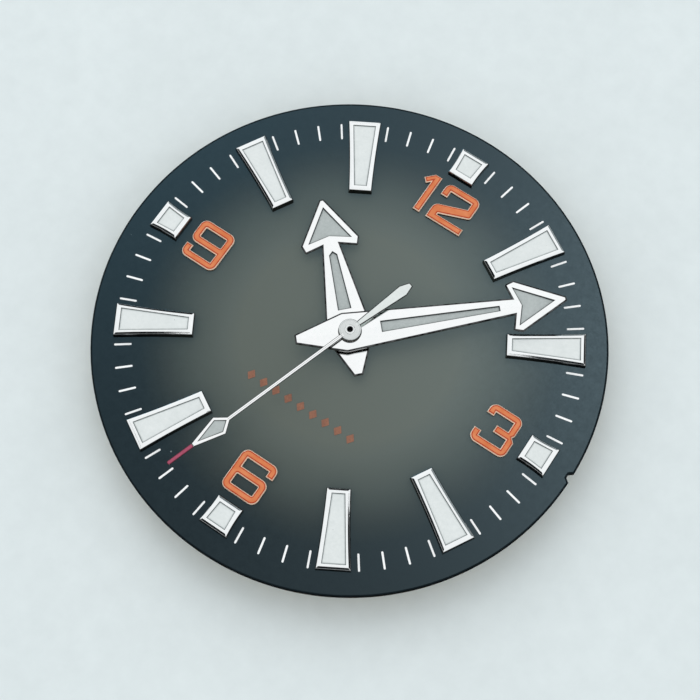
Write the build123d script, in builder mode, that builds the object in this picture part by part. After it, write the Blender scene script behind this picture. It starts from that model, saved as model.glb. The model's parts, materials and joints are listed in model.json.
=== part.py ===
from build123d import *
from math import cos, pi, radians, sin
import os

os.makedirs("parts", exist_ok=True)

# A watch dial with applied hour markers and numerals, its three hands and the arbors that carry them.
# Millimetres. The origin is the centre of the dial plate's back face. +Z points at the viewer,
# +Y at 12 o'clock and +X at 3 o'clock. Clock angles are in degrees, clockwise from 12 o'clock.

# Dial plate
dial_diameter = 28.50
dial_thickness = 0.40
dial_edge_bevel = 0.04
notch_clock_angle = 90.0
notch_mouth = 0.62
notch_floor = 0.24
notch_depth = 0.24
fit_clearance = 0.01
overrun = 0.50

# Dial feet, soldered to the back
foot_clock_angles = (75.0, 255.0)
foot_diameter = 0.70
foot_length = 2.00
foot_rim_distance = 1.90
foot_flange_diameter = 1.30
foot_flange_thickness = 0.15
foot_tip_bevel = 0.08

# Applied hour markers: frames with a sunk window, wider towards the rim
marker_rim_margin = 1.30
marker_height = 0.50
marker_wall_height = 0.36
marker_bevel = 0.16
marker_land = 0.14
marker_floor = 0.14
marker_bow = 0.04
marker_foot_diameter = 0.40
bar_length = 4.37
bar_inner_width = 1.32
bar_outer_width = 1.90
bar_foot_pitch = 2.60
square_length = 1.71
square_inner_width = 1.60
square_outer_width = 1.78
square_foot_pitch = 0.80
fill_recess = 0.05
fill_edge_bevel = 0.04

# Printed minute track
minute_count = 60
hour_count = 12
print_thickness = 0.02
tick_length = 0.96
tick_width = 0.11

# Applied numerals, with a bright bevelled edge and a lacquered face
numeral_height = 2.48
numeral_width = 2.25
numeral_rim_distance = 4.70
numeral_stroke = 0.44
numeral_corner = 0.42
numeral_rise = 0.25
numeral_bevel = 0.05
numeral_foot_diameter = 0.30
lacquer_thickness = 0.03
one_flag = 0.49
one_flag_width = 0.38
one_flag_slant = 45.0
one_gap = 0.41
two_hook = 0.86
two_slope = 0.37
two_notch = 0.08
six_hook = 0.77
six_gap = 0.23
three_upper_width = 2.00
three_upper_hook = 0.69
three_lower_hook = 0.75
three_bar = 1.27
three_waist = 0.18

# Printed row of lozenges below the centre
lozenge_count = 9
lozenge_height = 0.65
lozenge_width = 0.50
lozenge_pitch = 0.81
lozenge_row_distance = 4.80

# Hands. Outline shares are (half width, length) of the right-hand side, from tip to tail
hand_thickness = 0.17
hand_facet_drop = 0.06
hand_fill_recess = 0.04
hand_corner = 0.10
hour_hand_clock_angle = 314.7
hour_hand_length = 8.12
hour_hand_half_width = 1.66
hour_boss_diameter = 2.72
hour_outline_shares = (
    (0.07, 1.0), (1.0, 0.684), (0.90, 0.622), (0.307, 0.654), (0.79, -0.012), (0.15, -0.299),
)
hour_window_shares = ((0.0, 0.936), (0.723, 0.690), (0.0, 0.723))
hour_slot_shares = ((0.0, 0.604), (0.127, 0.579), (0.214, 0.179))
minute_hand_clock_angle = 47.0
minute_hand_length = 12.05
minute_hand_half_width = 1.50
minute_boss_diameter = 2.44
minute_outline_shares = (
    (0.08, 1.0), (1.0, 0.776), (0.89, 0.733), (0.32, 0.753), (0.71, -0.037), (0.173, -0.251),
)
minute_window_shares = ((0.0, 0.943), (0.723, 0.766), (0.0, 0.793))
minute_slot_shares = ((0.09, 0.689), (0.203, 0.144))
seconds_hand_clock_angle = 198.3
seconds_hand_length = 12.15
seconds_hand_half_width = 0.575
seconds_hand_thickness = 0.10
seconds_facet_drop = 0.03
seconds_needle_width = 0.22
seconds_disc_diameter = 1.24
seconds_tip_share = 0.134
seconds_kite_shares = ((0.19, 0.866), (1.0, 0.722), (0.19, 0.672))
seconds_window_shares = ((0.0, 0.838), (0.68, 0.726), (0.0, 0.684))
seconds_tail_shares = ((0.21, 0.0), (0.59, -0.303), (0.24, -0.35))

# Hour wheel, its pipe and the hour hand's collet
tooth_module = 0.10
tooth_width_share = 0.45
tooth_root_share = 1.25
hour_wheel_teeth = 40
hour_wheel_thickness = 0.20
hour_wheel_depth = 0.40
hour_pipe_diameter = 1.50
hour_pipe_bore = 1.14
hour_collet_diameter = 2.30
hour_collet_neck = 1.90
hour_collet_height = 0.30
hour_collet_gap = 0.10
hour_neck_height = 0.13
centre_hole_clearance = 0.30

# Dished washer between the hour wheel and the dial
washer_outer_diameter = 3.40
washer_land = 0.15
washer_thickness = 0.05
washer_bore_clearance = 0.06
washer_dial_gap = 0.02

# Cannon pinion and the minute hand's collet
running_clearance = 0.03
end_shake = 0.05
cannon_teeth = 12
cannon_leaf_length = 0.50
cannon_bore = 0.44
minute_seat_diameter = 0.90
minute_collet_diameter = 1.60
minute_collet_neck = 1.25
minute_collet_height = 0.22
minute_collet_gap = 0.07
minute_neck_height = 0.14

# Seconds arbor and the seconds hand's tube
seconds_teeth = 8
seconds_leaf_length = 0.50
seconds_collar_diameter = 0.90
seconds_collar_thickness = 0.15
seconds_seat_diameter = 0.30
seconds_pivot_diameter = 0.20
seconds_pivot_length = 0.30
seconds_tube_diameter = 0.56
seconds_tube_gap = 0.06
seconds_tube_height = 0.14
seconds_tube_lip = 0.06
seconds_tube_sink = 0.12

# Places and heights that follow from the sizes above
dial_radius = dial_diameter / 2
marker_outer_end = dial_radius - marker_rim_margin
bar_inner_end = marker_outer_end - bar_length
square_inner_end = marker_outer_end - square_length
numeral_centre_radius = dial_radius - numeral_rim_distance
square_hours = (3, 6, 9, 12)
hour_step = 360 / hour_count
minute_step = 360 / minute_count
centre_hole_radius = hour_pipe_diameter / 2 + centre_hole_clearance
notch_flare = (notch_mouth - notch_floor) / 2

hour_hand_base = dial_thickness + hour_collet_gap + hour_collet_height
hour_pipe_top = hour_hand_base + hour_neck_height
hour_wheel_top = hour_wheel_thickness - hour_wheel_depth
minute_collet_base = hour_pipe_top + minute_collet_gap
minute_hand_base = minute_collet_base + minute_collet_height
minute_seat_top = minute_hand_base + minute_neck_height
seconds_tube_base = minute_seat_top + seconds_tube_gap
seconds_hand_base = seconds_tube_base + seconds_tube_height
seconds_hand_top = seconds_hand_base + seconds_hand_thickness
seconds_tube_top = seconds_hand_top + seconds_tube_lip
cannon_leaf_top = -hour_wheel_depth - end_shake
cannon_bottom = cannon_leaf_top - cannon_leaf_length
seconds_collar_top = cannon_bottom - end_shake
seconds_leaf_bottom = seconds_collar_top - seconds_collar_thickness - seconds_leaf_length
cannon_diameter = hour_pipe_bore - 2 * running_clearance
seconds_arbor_diameter = cannon_bore - 2 * running_clearance


def turned_plane(clock_angle, height):
    """A level plane whose Y axis points from the centre along a clock angle."""
    turn = radians(clock_angle)
    return Plane(origin=(0, 0, height), x_dir=(cos(turn), -sin(turn), 0), z_dir=(0, 0, 1))


def cross_plane(clock_angle, height):
    """An upright plane across a clock angle's line: its X axis runs sideways and its Y axis up."""
    turn = radians(clock_angle)
    return Plane(origin=(0, 0, height), x_dir=(cos(turn), -sin(turn), 0), z_dir=(-sin(turn), -cos(turn), 0))


def tapered(inner_end, outer_end, inner_width, outer_width, inset):
    """Corners of a symmetric face that widens outwards, drawn in by an inset on every side."""
    low = inner_end + inset
    high = outer_end - inset
    inner = inner_width / 2 - inset
    outer = outer_width / 2 - inset
    return [(-inner, low), (inner, low), (outer, high), (-outer, high)]


def scaled(shares, half_width, length):
    """Points of a right-hand outline from its shares."""
    return [(x * half_width, y * length) for x, y in shares]


def mirrored_outline(points):
    """A closed symmetric outline from its right-hand side; a point on the axis is used once."""
    return points + [(-x, y) for x, y in reversed(points) if x > 0]


def marker_sizes(hour):
    """Inner end, outer end, inner width and outer width of an hour's marker."""
    if hour in square_hours:
        return square_inner_end, marker_outer_end, square_inner_width, square_outer_width
    return bar_inner_end, marker_outer_end, bar_inner_width, bar_outer_width


def marker_feet(hour):
    """Places of a marker's two feet: side by side under a square, in line under a bar."""
    inner_end, outer_end, inner_width, outer_width = marker_sizes(hour)
    middle = (inner_end + outer_end) / 2
    if hour in square_hours:
        return [(-square_foot_pitch / 2, middle), (square_foot_pitch / 2, middle)]
    return [(0, middle - bar_foot_pitch / 2), (0, middle + bar_foot_pitch / 2)]


def numeral_origin(hour, width):
    """Lower left corner of a numeral of a given width, centred on its hour's line."""
    turn = radians(hour * hour_step)
    centre_x = numeral_centre_radius * sin(turn)
    centre_y = numeral_centre_radius * cos(turn)
    return centre_x - width / 2, centre_y - numeral_height / 2


# Lower left corners of the numerals' cells, and the feet inside each cell
one_width = one_flag + numeral_stroke
twelve_width = one_width + one_gap + numeral_width
twelve_x, twelve_y = numeral_origin(12, twelve_width)
numeral_corners = {
    "one": (twelve_x, twelve_y),
    "two": (twelve_x + one_width + one_gap, twelve_y),
    "three": numeral_origin(3, numeral_width),
    "six": numeral_origin(6, numeral_width),
    "nine": numeral_origin(9, numeral_width),
}
foot_low = numeral_stroke / 2
foot_high = numeral_height - numeral_stroke / 2
bar_feet = [(numeral_width / 2, foot_low), (numeral_width / 2, foot_high)]
numeral_feet = {
    "one": [(one_width - numeral_stroke / 2, foot_low), (one_width - numeral_stroke / 2, foot_high)],
    "two": bar_feet,
    "three": bar_feet,
    "six": bar_feet,
    "nine": bar_feet,
}


def numeral_plane(name, height):
    """A level plane with its origin at a numeral's lower left corner."""
    x, y = numeral_corners[name]
    return Plane(origin=(x, y, height))


def corner_at(sketch, x, y):
    """The sketch corner nearest to a point."""
    return sketch.vertices().sort_by_distance((x, y, 0))[0]


# Dial plate: a round disc with a centre hole, a rim notch and the holes for every applied piece's feet
with BuildPart() as dial_plate:
    with BuildSketch(Plane.XY):
        Circle(dial_radius)
        Circle(centre_hole_radius, mode=Mode.SUBTRACT)
    extrude(amount=dial_thickness)
    rim_edges = dial_plate.edges().filter_by(GeomType.CIRCLE).group_by(SortBy.RADIUS)[-1]
    chamfer(rim_edges, length=dial_edge_bevel)
    with BuildSketch(turned_plane(notch_clock_angle, 0)):
        with BuildLine():
            Polyline(
                (-notch_floor / 2, dial_radius - notch_depth),
                (notch_floor / 2, dial_radius - notch_depth),
                (notch_mouth / 2 + notch_flare, dial_radius + notch_depth),
                (-notch_mouth / 2 - notch_flare, dial_radius + notch_depth),
                close=True,
            )
        make_face()
    extrude(amount=dial_thickness, mode=Mode.SUBTRACT)
    for hour in range(1, hour_count + 1):
        with BuildSketch(turned_plane(hour * hour_step, 0)):
            with Locations(*marker_feet(hour)):
                Circle(marker_foot_diameter / 2 + fit_clearance)
        extrude(amount=dial_thickness, mode=Mode.SUBTRACT)
    for name, places in numeral_feet.items():
        with BuildSketch(numeral_plane(name, 0)):
            with Locations(*places):
                Circle(numeral_foot_diameter / 2 + fit_clearance)
        extrude(amount=dial_thickness, mode=Mode.SUBTRACT)
dial_plate.part.label = "dial_plate"
export_step(dial_plate.part, "parts/dial_plate.step")


# Dial feet: turned pins with a soldering flange
for number, clock_angle in enumerate(foot_clock_angles, start=1):
    turn = radians(clock_angle)
    foot_circle = dial_radius - foot_rim_distance
    foot_place = (foot_circle * sin(turn), foot_circle * cos(turn))
    with BuildPart() as dial_foot:
        with BuildSketch(Plane(origin=(*foot_place, 0))):
            Circle(foot_flange_diameter / 2)
        extrude(amount=-foot_flange_thickness)
        with BuildSketch(Plane(origin=(*foot_place, -foot_flange_thickness))):
            Circle(foot_diameter / 2)
        extrude(amount=foot_flange_thickness - foot_length)
        chamfer(dial_foot.faces().sort_by(Axis.Z)[0].edges(), length=foot_tip_bevel)
    dial_foot.part.label = f"dial_foot_{number}"
    export_step(dial_foot.part, f"parts/dial_foot_{number}.step")


# Hour markers: each frame has a plumb wall, a bevel up to a narrow flat land, a sunk window and two feet
for hour in range(1, hour_count + 1):
    clock_angle = hour * hour_step
    sizes = marker_sizes(hour)
    land_height = dial_thickness + marker_height
    wall_height = dial_thickness + marker_wall_height
    window = tapered(*sizes, marker_bevel + marker_land)
    with BuildPart() as index_frame:
        for height, inset in ((dial_thickness, 0), (wall_height, 0), (land_height, marker_bevel)):
            low_left, low_right, high_right, high_left = tapered(*sizes, inset)
            waist = (low_right[0] + high_right[0]) / 2 - marker_bow
            middle = (low_right[1] + high_right[1]) / 2
            with BuildSketch(turned_plane(clock_angle, height)):
                with BuildLine():
                    Line(low_left, low_right)
                    ThreePointArc(low_right, (waist, middle), high_right)
                    Line(high_right, high_left)
                    ThreePointArc(high_left, (-waist, middle), low_left)
                make_face()
        loft(ruled=True)
        with BuildSketch(turned_plane(clock_angle, dial_thickness + marker_floor)):
            with BuildLine():
                Polyline(*window, close=True)
            make_face()
        extrude(amount=marker_height, mode=Mode.SUBTRACT)
        with BuildSketch(turned_plane(clock_angle, 0)):
            with Locations(*marker_feet(hour)):
                Circle(marker_foot_diameter / 2)
        extrude(amount=dial_thickness + marker_floor / 2)
    index_frame.part.label = f"index_frame_{hour:02d}"
    export_step(index_frame.part, f"parts/index_frame_{hour:02d}.step")

    with BuildPart() as index_fill:
        with BuildSketch(turned_plane(clock_angle, dial_thickness + marker_floor)):
            with BuildLine():
                Polyline(*window, close=True)
            make_face()
        extrude(amount=marker_height - marker_floor - fill_recess)
        chamfer(index_fill.faces().sort_by(Axis.Z)[-1].edges(), length=fill_edge_bevel)
    index_fill.part.label = f"index_fill_{hour:02d}"
    export_step(index_fill.part, f"parts/index_fill_{hour:02d}.step")


# Minute track: a printed tick at each minute that has no hour marker
with BuildPart() as minute_track:
    with BuildSketch(Plane.XY.offset(dial_thickness)):
        for minute in range(1, minute_count // hour_count):
            with PolarLocations(marker_outer_end - tick_length / 2, hour_count, minute * minute_step):
                SlotOverall(tick_length, tick_width)
    extrude(amount=print_thickness)
minute_track.part.label = "minute_track"
export_step(minute_track.part, "parts/minute_track.step")


# Printed lozenges in a row below the centre
lozenge_x = lozenge_width / 2
lozenge_y = lozenge_height / 2
with BuildPart() as printed_lozenges:
    with BuildSketch(Plane(origin=(0, -lozenge_row_distance, dial_thickness))):
        with GridLocations(lozenge_pitch, 0, lozenge_count, 1):
            Polygon((lozenge_x, 0), (0, lozenge_y), (-lozenge_x, 0), (0, -lozenge_y))
    extrude(amount=print_thickness)
printed_lozenges.part.label = "printed_lozenges"
export_step(printed_lozenges.part, "parts/printed_lozenges.step")


def one_face():
    """Numeral 1: an upright stroke with a slanted flag."""
    right = one_width
    left = right - numeral_stroke
    flag_top = numeral_height - one_flag
    flag_step = one_flag_width * sin(radians(one_flag_slant))
    with BuildSketch() as face:
        with BuildLine():
            Polyline(
                (left, 0),
                (right, 0),
                (right, numeral_height),
                (left, numeral_height),
                (0, flag_top),
                (flag_step, flag_top - flag_step),
                (left, flag_top + left - 2 * flag_step),
                close=True,
            )
        make_face()
    return face.sketch


def two_face():
    """Numeral 2: a hooked top, a slanted neck and a flat foot."""
    stroke = numeral_stroke
    width = numeral_width
    height = numeral_height
    neck_left = stroke + two_notch
    neck_right = neck_left + two_slope * (width - stroke)
    with BuildSketch() as face:
        with BuildLine():
            Polyline(
                (0, 0),
                (width, 0),
                (width, stroke),
                (neck_left, stroke),
                (neck_left, neck_left),
                (width, neck_right),
                (width, height),
                (0, height),
                (0, height - two_hook),
                (stroke, height - two_hook),
                (stroke, height - stroke),
                (width - stroke, height - stroke),
                (width - stroke, neck_right + stroke),
                (0, neck_left + stroke),
                close=True,
            )
        make_face()
        fillet(corner_at(face, width, height), radius=numeral_corner)
        fillet(corner_at(face, 0, height), radius=numeral_corner)
        fillet(corner_at(face, 0, neck_left + stroke), radius=numeral_corner)
        fillet(corner_at(face, width, neck_right), radius=numeral_corner / 2)
    return face.sketch


def three_face():
    """Numeral 3: two hooked lobes, the upper one narrower, joined by a short middle bar."""
    stroke = numeral_stroke
    width = numeral_width
    height = numeral_height
    upper_left = (width - three_upper_width) / 2
    upper_right = upper_left + three_upper_width
    bar_left = width - three_bar
    middle = height / 2
    with BuildSketch() as face:
        with BuildLine():
            Polyline(
                (0, 0),
                (width, 0),
                (width, middle - three_waist),
                (upper_right - three_waist / 2, middle + three_waist / 4),
                (upper_right, middle + three_waist),
                (upper_right, height),
                (upper_left, height),
                (upper_left, height - three_upper_hook),
                (upper_left + stroke, height - three_upper_hook),
                (upper_left + stroke, height - stroke),
                (upper_right - stroke, height - stroke),
                (upper_right - stroke, middle + stroke / 2),
                (bar_left, middle + stroke / 2),
                (bar_left, middle - stroke / 2),
                (width - stroke, middle - stroke / 2),
                (width - stroke, stroke),
                (stroke, stroke),
                (stroke, three_lower_hook),
                (0, three_lower_hook),
                close=True,
            )
        make_face()
        fillet(corner_at(face, 0, 0), radius=numeral_corner)
        fillet(corner_at(face, width, 0), radius=numeral_corner)
        fillet(corner_at(face, upper_left, height), radius=numeral_corner)
        fillet(corner_at(face, upper_right, height), radius=numeral_corner)
    return face.sketch


def six_face():
    """Numeral 6: a closed lower lobe under a hooked top."""
    stroke = numeral_stroke
    width = numeral_width
    height = numeral_height
    lobe_top = height - six_hook - six_gap
    with BuildSketch(Plane(origin=(width / 2, height / 2))) as face:
        RectangleRounded(width, height, numeral_corner)
        with Locations((0, (lobe_top - stroke) / 2 + stroke / 2 - height / 2)):
            Rectangle(width - 2 * stroke, lobe_top - 2 * stroke, mode=Mode.SUBTRACT)
        with Locations((0, (lobe_top + height - stroke) / 2 - height / 2)):
            Rectangle(width - 2 * stroke, height - stroke - lobe_top, mode=Mode.SUBTRACT)
        with Locations(((width - stroke) / 2, lobe_top + six_gap / 2 - height / 2)):
            Rectangle(stroke, six_gap, mode=Mode.SUBTRACT)
        fillet(corner_at(face, width, lobe_top), radius=numeral_corner)
    return face.sketch


def nine_face():
    """Numeral 9: a 6 turned half a turn in its cell."""
    centre = Plane(origin=(numeral_width / 2, numeral_height / 2))
    return centre.location * Rotation(0, 0, 180) * centre.location.inverse() * six_face()


numeral_faces = {
    "one": one_face(),
    "two": two_face(),
    "three": three_face(),
    "six": six_face(),
    "nine": nine_face(),
}

# Applied numerals: a bright body with a bevelled edge and two feet, and a lacquered face on it
for name, face in numeral_faces.items():
    body_rise = numeral_rise - lacquer_thickness
    with BuildPart() as numeral:
        with BuildSketch(numeral_plane(name, dial_thickness)):
            add(face)
        extrude(amount=body_rise)
        chamfer(numeral.faces().sort_by(Axis.Z)[-1].edges(), length=numeral_bevel)
        with BuildSketch(numeral_plane(name, 0)):
            with Locations(*numeral_feet[name]):
                Circle(numeral_foot_diameter / 2)
        extrude(amount=dial_thickness + body_rise / 2)
    numeral.part.label = f"numeral_{name}"
    export_step(numeral.part, f"parts/numeral_{name}.step")

    with BuildPart() as lacquer:
        with BuildSketch(numeral_plane(name, dial_thickness + body_rise)):
            add(face)
            offset(amount=-numeral_bevel, kind=Kind.INTERSECTION, mode=Mode.REPLACE)
        extrude(amount=lacquer_thickness)
    lacquer.part.label = f"numeral_{name}_lacquer"
    export_step(lacquer.part, f"parts/numeral_{name}_lacquer.step")


# Hour and minute hands: an arrow head with a window, a slotted shaft that widens to a round boss and a
# short tail. Two shallow facets fall away from a ridge along the middle
hand_sizes = {
    "hour": (hour_hand_clock_angle, hour_hand_base, hour_hand_half_width, hour_hand_length),
    "minute": (minute_hand_clock_angle, minute_hand_base, minute_hand_half_width, minute_hand_length),
}
hand_outline_shares = {"hour": hour_outline_shares, "minute": minute_outline_shares}
hand_opening_shares = {
    "hour": (hour_window_shares, hour_slot_shares),
    "minute": (minute_window_shares, minute_slot_shares),
}
hand_bosses = {
    "hour": (hour_boss_diameter, hour_collet_neck),
    "minute": (minute_boss_diameter, minute_collet_neck),
}

for name, (clock_angle, base, half_width, length) in hand_sizes.items():
    boss_diameter, seat_diameter = hand_bosses[name]
    outline = mirrored_outline(scaled(hand_outline_shares[name], half_width, length))
    head_corners = outline[:3] + outline[-3:]
    openings = [mirrored_outline(scaled(shares, half_width, length)) for shares in hand_opening_shares[name]]
    with BuildPart() as hand:
        with BuildSketch(turned_plane(clock_angle, base)) as hand_outline:
            with BuildLine():
                Polyline(*outline, close=True)
            make_face()
            fillet([corner_at(hand_outline, x, y) for x, y in head_corners], radius=hand_corner)
            Circle(boss_diameter / 2)
            Circle(seat_diameter / 2, mode=Mode.SUBTRACT)
            for opening in openings:
                with BuildLine():
                    Polyline(*opening, close=True)
                make_face(mode=Mode.SUBTRACT)
        extrude(amount=hand_thickness)
        with BuildSketch(cross_plane(clock_angle, base)):
            with BuildLine():
                Polyline(
                    (-half_width - overrun, 0),
                    (half_width + overrun, 0),
                    (half_width + overrun, hand_thickness - hand_facet_drop * (1 + overrun / half_width)),
                    (0, hand_thickness),
                    (-half_width - overrun, hand_thickness - hand_facet_drop * (1 + overrun / half_width)),
                    close=True,
                )
            make_face()
        extrude(amount=length + overrun, both=True, mode=Mode.INTERSECT)
    hand.part.label = f"{name}_hand"
    export_step(hand.part, f"parts/{name}_hand.step")

    with BuildPart() as hand_fill:
        with BuildSketch(turned_plane(clock_angle, base)):
            for opening in openings:
                with BuildLine():
                    Polyline(*opening, close=True)
                make_face()
        extrude(amount=hand_thickness - hand_facet_drop - hand_fill_recess)
    hand_fill.part.label = f"{name}_hand_fill"
    export_step(hand_fill.part, f"parts/{name}_hand_fill.step")


# Collets of the hour and minute hands: a wide foot below the hand and a neck through its seat
with BuildPart() as hour_hand_collet:
    with BuildSketch(Plane.XY.offset(hour_hand_base - hour_collet_height)):
        Circle(hour_collet_diameter / 2)
    extrude(amount=hour_collet_height)
    with BuildSketch(Plane.XY.offset(hour_hand_base)):
        Circle(hour_collet_neck / 2)
    extrude(amount=hour_neck_height)
    with BuildSketch(Plane.XY.offset(hour_hand_base - hour_collet_height)):
        Circle(hour_pipe_diameter / 2)
    extrude(amount=hour_collet_height + hour_neck_height, mode=Mode.SUBTRACT)
hour_hand_collet.part.label = "hour_hand_collet"
export_step(hour_hand_collet.part, "parts/hour_hand_collet.step")

with BuildPart() as minute_hand_collet:
    with BuildSketch(Plane.XY.offset(minute_collet_base)):
        Circle(minute_collet_diameter / 2)
    extrude(amount=minute_collet_height)
    with BuildSketch(Plane.XY.offset(minute_hand_base)):
        Circle(minute_collet_neck / 2)
    extrude(amount=minute_neck_height)
    with BuildSketch(Plane.XY.offset(minute_collet_base)):
        Circle(minute_seat_diameter / 2)
    extrude(amount=minute_collet_height + minute_neck_height, mode=Mode.SUBTRACT)
minute_hand_collet.part.label = "minute_hand_collet"
export_step(minute_hand_collet.part, "parts/minute_hand_collet.step")


# Seconds hand: a needle with an open kite near its end, a round disc at the centre and a paddle tail
seconds_kite = mirrored_outline(scaled(seconds_kite_shares, seconds_hand_half_width, seconds_hand_length))
seconds_window = mirrored_outline(scaled(seconds_window_shares, seconds_hand_half_width, seconds_hand_length))
seconds_tail = mirrored_outline(scaled(seconds_tail_shares, seconds_hand_half_width, seconds_hand_length))
seconds_plate_top = seconds_hand_thickness - lacquer_thickness
seconds_slope = seconds_facet_drop / seconds_hand_half_width
seconds_tip_start = seconds_hand_length * (1 - seconds_tip_share)
with BuildPart() as seconds_hand:
    with BuildSketch(turned_plane(seconds_hand_clock_angle, seconds_hand_base)):
        with BuildLine():
            Polyline(*seconds_kite, close=True)
        make_face()
        with BuildLine():
            Polyline(*seconds_tail, close=True)
        make_face()
        with Locations((0, seconds_hand_length / 2)):
            Rectangle(seconds_needle_width, seconds_hand_length)
        Circle(seconds_disc_diameter / 2)
        Circle(seconds_tube_diameter / 2, mode=Mode.SUBTRACT)
        with BuildLine():
            Polyline(*seconds_window, close=True)
        make_face(mode=Mode.SUBTRACT)
    extrude(amount=seconds_hand_thickness)
    with BuildSketch(cross_plane(seconds_hand_clock_angle, seconds_hand_base)):
        with BuildLine():
            Polyline(
                (-seconds_disc_diameter, 0),
                (seconds_disc_diameter, 0),
                (seconds_disc_diameter, seconds_hand_thickness - seconds_slope * seconds_disc_diameter),
                (0, seconds_hand_thickness),
                (-seconds_disc_diameter, seconds_hand_thickness - seconds_slope * seconds_disc_diameter),
                close=True,
            )
        make_face()
    extrude(amount=seconds_hand_length + overrun, both=True, mode=Mode.INTERSECT)
    with BuildSketch(turned_plane(seconds_hand_clock_angle, seconds_hand_base + seconds_plate_top)):
        with Locations((0, seconds_tip_start + seconds_hand_length / 2)):
            Rectangle(seconds_disc_diameter, seconds_hand_length)
    extrude(amount=seconds_hand_thickness, mode=Mode.SUBTRACT)
seconds_hand.part.label = "seconds_hand"
export_step(seconds_hand.part, "parts/seconds_hand.step")

with BuildPart() as seconds_hand_fill:
    with BuildSketch(turned_plane(seconds_hand_clock_angle, seconds_hand_base)):
        with BuildLine():
            Polyline(*seconds_window, close=True)
        make_face()
    extrude(amount=seconds_hand_thickness - seconds_facet_drop)
seconds_hand_fill.part.label = "seconds_hand_fill"
export_step(seconds_hand_fill.part, "parts/seconds_hand_fill.step")

with BuildPart() as seconds_hand_tip:
    with BuildSketch(turned_plane(seconds_hand_clock_angle, seconds_hand_base + seconds_plate_top)):
        with Locations((0, (seconds_tip_start + seconds_hand_length) / 2)):
            Rectangle(seconds_needle_width, seconds_hand_length - seconds_tip_start)
    extrude(amount=lacquer_thickness)
seconds_hand_tip.part.label = "seconds_hand_tip"
export_step(seconds_hand_tip.part, "parts/seconds_hand_tip.step")

with BuildPart() as seconds_hand_tube:
    with BuildSketch(Plane.XY.offset(seconds_tube_base)):
        Circle(seconds_tube_diameter / 2)
        Circle(seconds_seat_diameter / 2, mode=Mode.SUBTRACT)
    extrude(amount=seconds_tube_top - seconds_tube_base)
seconds_hand_tube.part.label = "seconds_hand_tube"
export_step(seconds_hand_tube.part, "parts/seconds_hand_tube.step")


def toothed_face(teeth):
    """A gear's face at the shared module: straight flanks up to the pitch circle, rounded tips above it."""
    pitch_radius = tooth_module * teeth / 2
    flank_depth = tooth_root_share * tooth_module
    root_radius = pitch_radius - flank_depth
    tooth_width = tooth_width_share * pi * tooth_module
    with BuildSketch() as face:
        Circle(root_radius)
        with PolarLocations(root_radius, teeth):
            Rectangle(2 * flank_depth, tooth_width)
        with PolarLocations(pitch_radius, teeth):
            Ellipse(tooth_module, tooth_width / 2)
    return face.sketch


# Hour wheel: a toothed disc with the pipe that carries the hour hand
with BuildPart() as hour_wheel:
    with BuildSketch(Plane.XY.offset(-hour_wheel_depth)):
        add(toothed_face(hour_wheel_teeth))
    extrude(amount=hour_wheel_thickness)
    with BuildSketch(Plane.XY.offset(-hour_wheel_depth)):
        Circle(hour_pipe_diameter / 2)
    extrude(amount=hour_wheel_depth + hour_pipe_top)
    with BuildSketch(Plane.XY.offset(-hour_wheel_depth)):
        Circle(hour_pipe_bore / 2)
    extrude(amount=hour_wheel_depth + hour_pipe_top, mode=Mode.SUBTRACT)
hour_wheel.part.label = "hour_wheel"
export_step(hour_wheel.part, "parts/hour_wheel.step")


# Dished washer: its inner land lies on the hour wheel and its outer land just under the dial
washer_inner = hour_pipe_diameter / 2 + washer_bore_clearance
washer_outer = washer_outer_diameter / 2
with BuildPart() as dial_washer:
    with BuildSketch(Plane.XZ):
        with BuildLine():
            Polyline(
                (washer_inner, hour_wheel_top),
                (washer_inner + washer_land, hour_wheel_top),
                (washer_outer - washer_land, -washer_dial_gap - washer_thickness),
                (washer_outer, -washer_dial_gap - washer_thickness),
                (washer_outer, -washer_dial_gap),
                (washer_outer - washer_land, -washer_dial_gap),
                (washer_inner + washer_land, hour_wheel_top + washer_thickness),
                (washer_inner, hour_wheel_top + washer_thickness),
                close=True,
            )
        make_face()
    revolve(axis=Axis.Z)
dial_washer.part.label = "dial_washer"
export_step(dial_washer.part, "parts/dial_washer.step")


# Cannon pinion: a tube with leaves below and the minute hand's seat on top
with BuildPart() as cannon_pinion:
    with BuildSketch(Plane.XY.offset(cannon_bottom)):
        add(toothed_face(cannon_teeth))
    extrude(amount=cannon_leaf_length)
    with BuildSketch(Plane.XY.offset(cannon_leaf_top)):
        Circle(cannon_diameter / 2)
    extrude(amount=minute_collet_base - cannon_leaf_top)
    with BuildSketch(Plane.XY.offset(minute_collet_base)):
        Circle(minute_seat_diameter / 2)
    extrude(amount=minute_seat_top - minute_collet_base)
    with BuildSketch(Plane.XY.offset(cannon_bottom)):
        Circle(cannon_bore / 2)
    extrude(amount=minute_seat_top - cannon_bottom, mode=Mode.SUBTRACT)
cannon_pinion.part.label = "cannon_pinion"
export_step(cannon_pinion.part, "parts/cannon_pinion.step")


# Seconds arbor: a shaft with a collar and leaves below the cannon pinion, a pivot and the hand's seat
with BuildPart() as seconds_arbor:
    with BuildSketch(Plane.XY.offset(seconds_leaf_bottom)):
        add(toothed_face(seconds_teeth))
    extrude(amount=seconds_leaf_length)
    with BuildSketch(Plane.XY.offset(seconds_collar_top - seconds_collar_thickness)):
        Circle(seconds_collar_diameter / 2)
    extrude(amount=seconds_collar_thickness)
    with BuildSketch(Plane.XY.offset(seconds_collar_top)):
        Circle(seconds_arbor_diameter / 2)
    extrude(amount=seconds_tube_base - seconds_collar_top)
    with BuildSketch(Plane.XY.offset(seconds_tube_base)):
        Circle(seconds_seat_diameter / 2)
    extrude(amount=seconds_tube_top - seconds_tube_sink - seconds_tube_base)
    with BuildSketch(Plane.XY.offset(seconds_leaf_bottom - seconds_pivot_length)):
        Circle(seconds_pivot_diameter / 2)
    extrude(amount=seconds_pivot_length)
seconds_arbor.part.label = "seconds_arbor"
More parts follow.
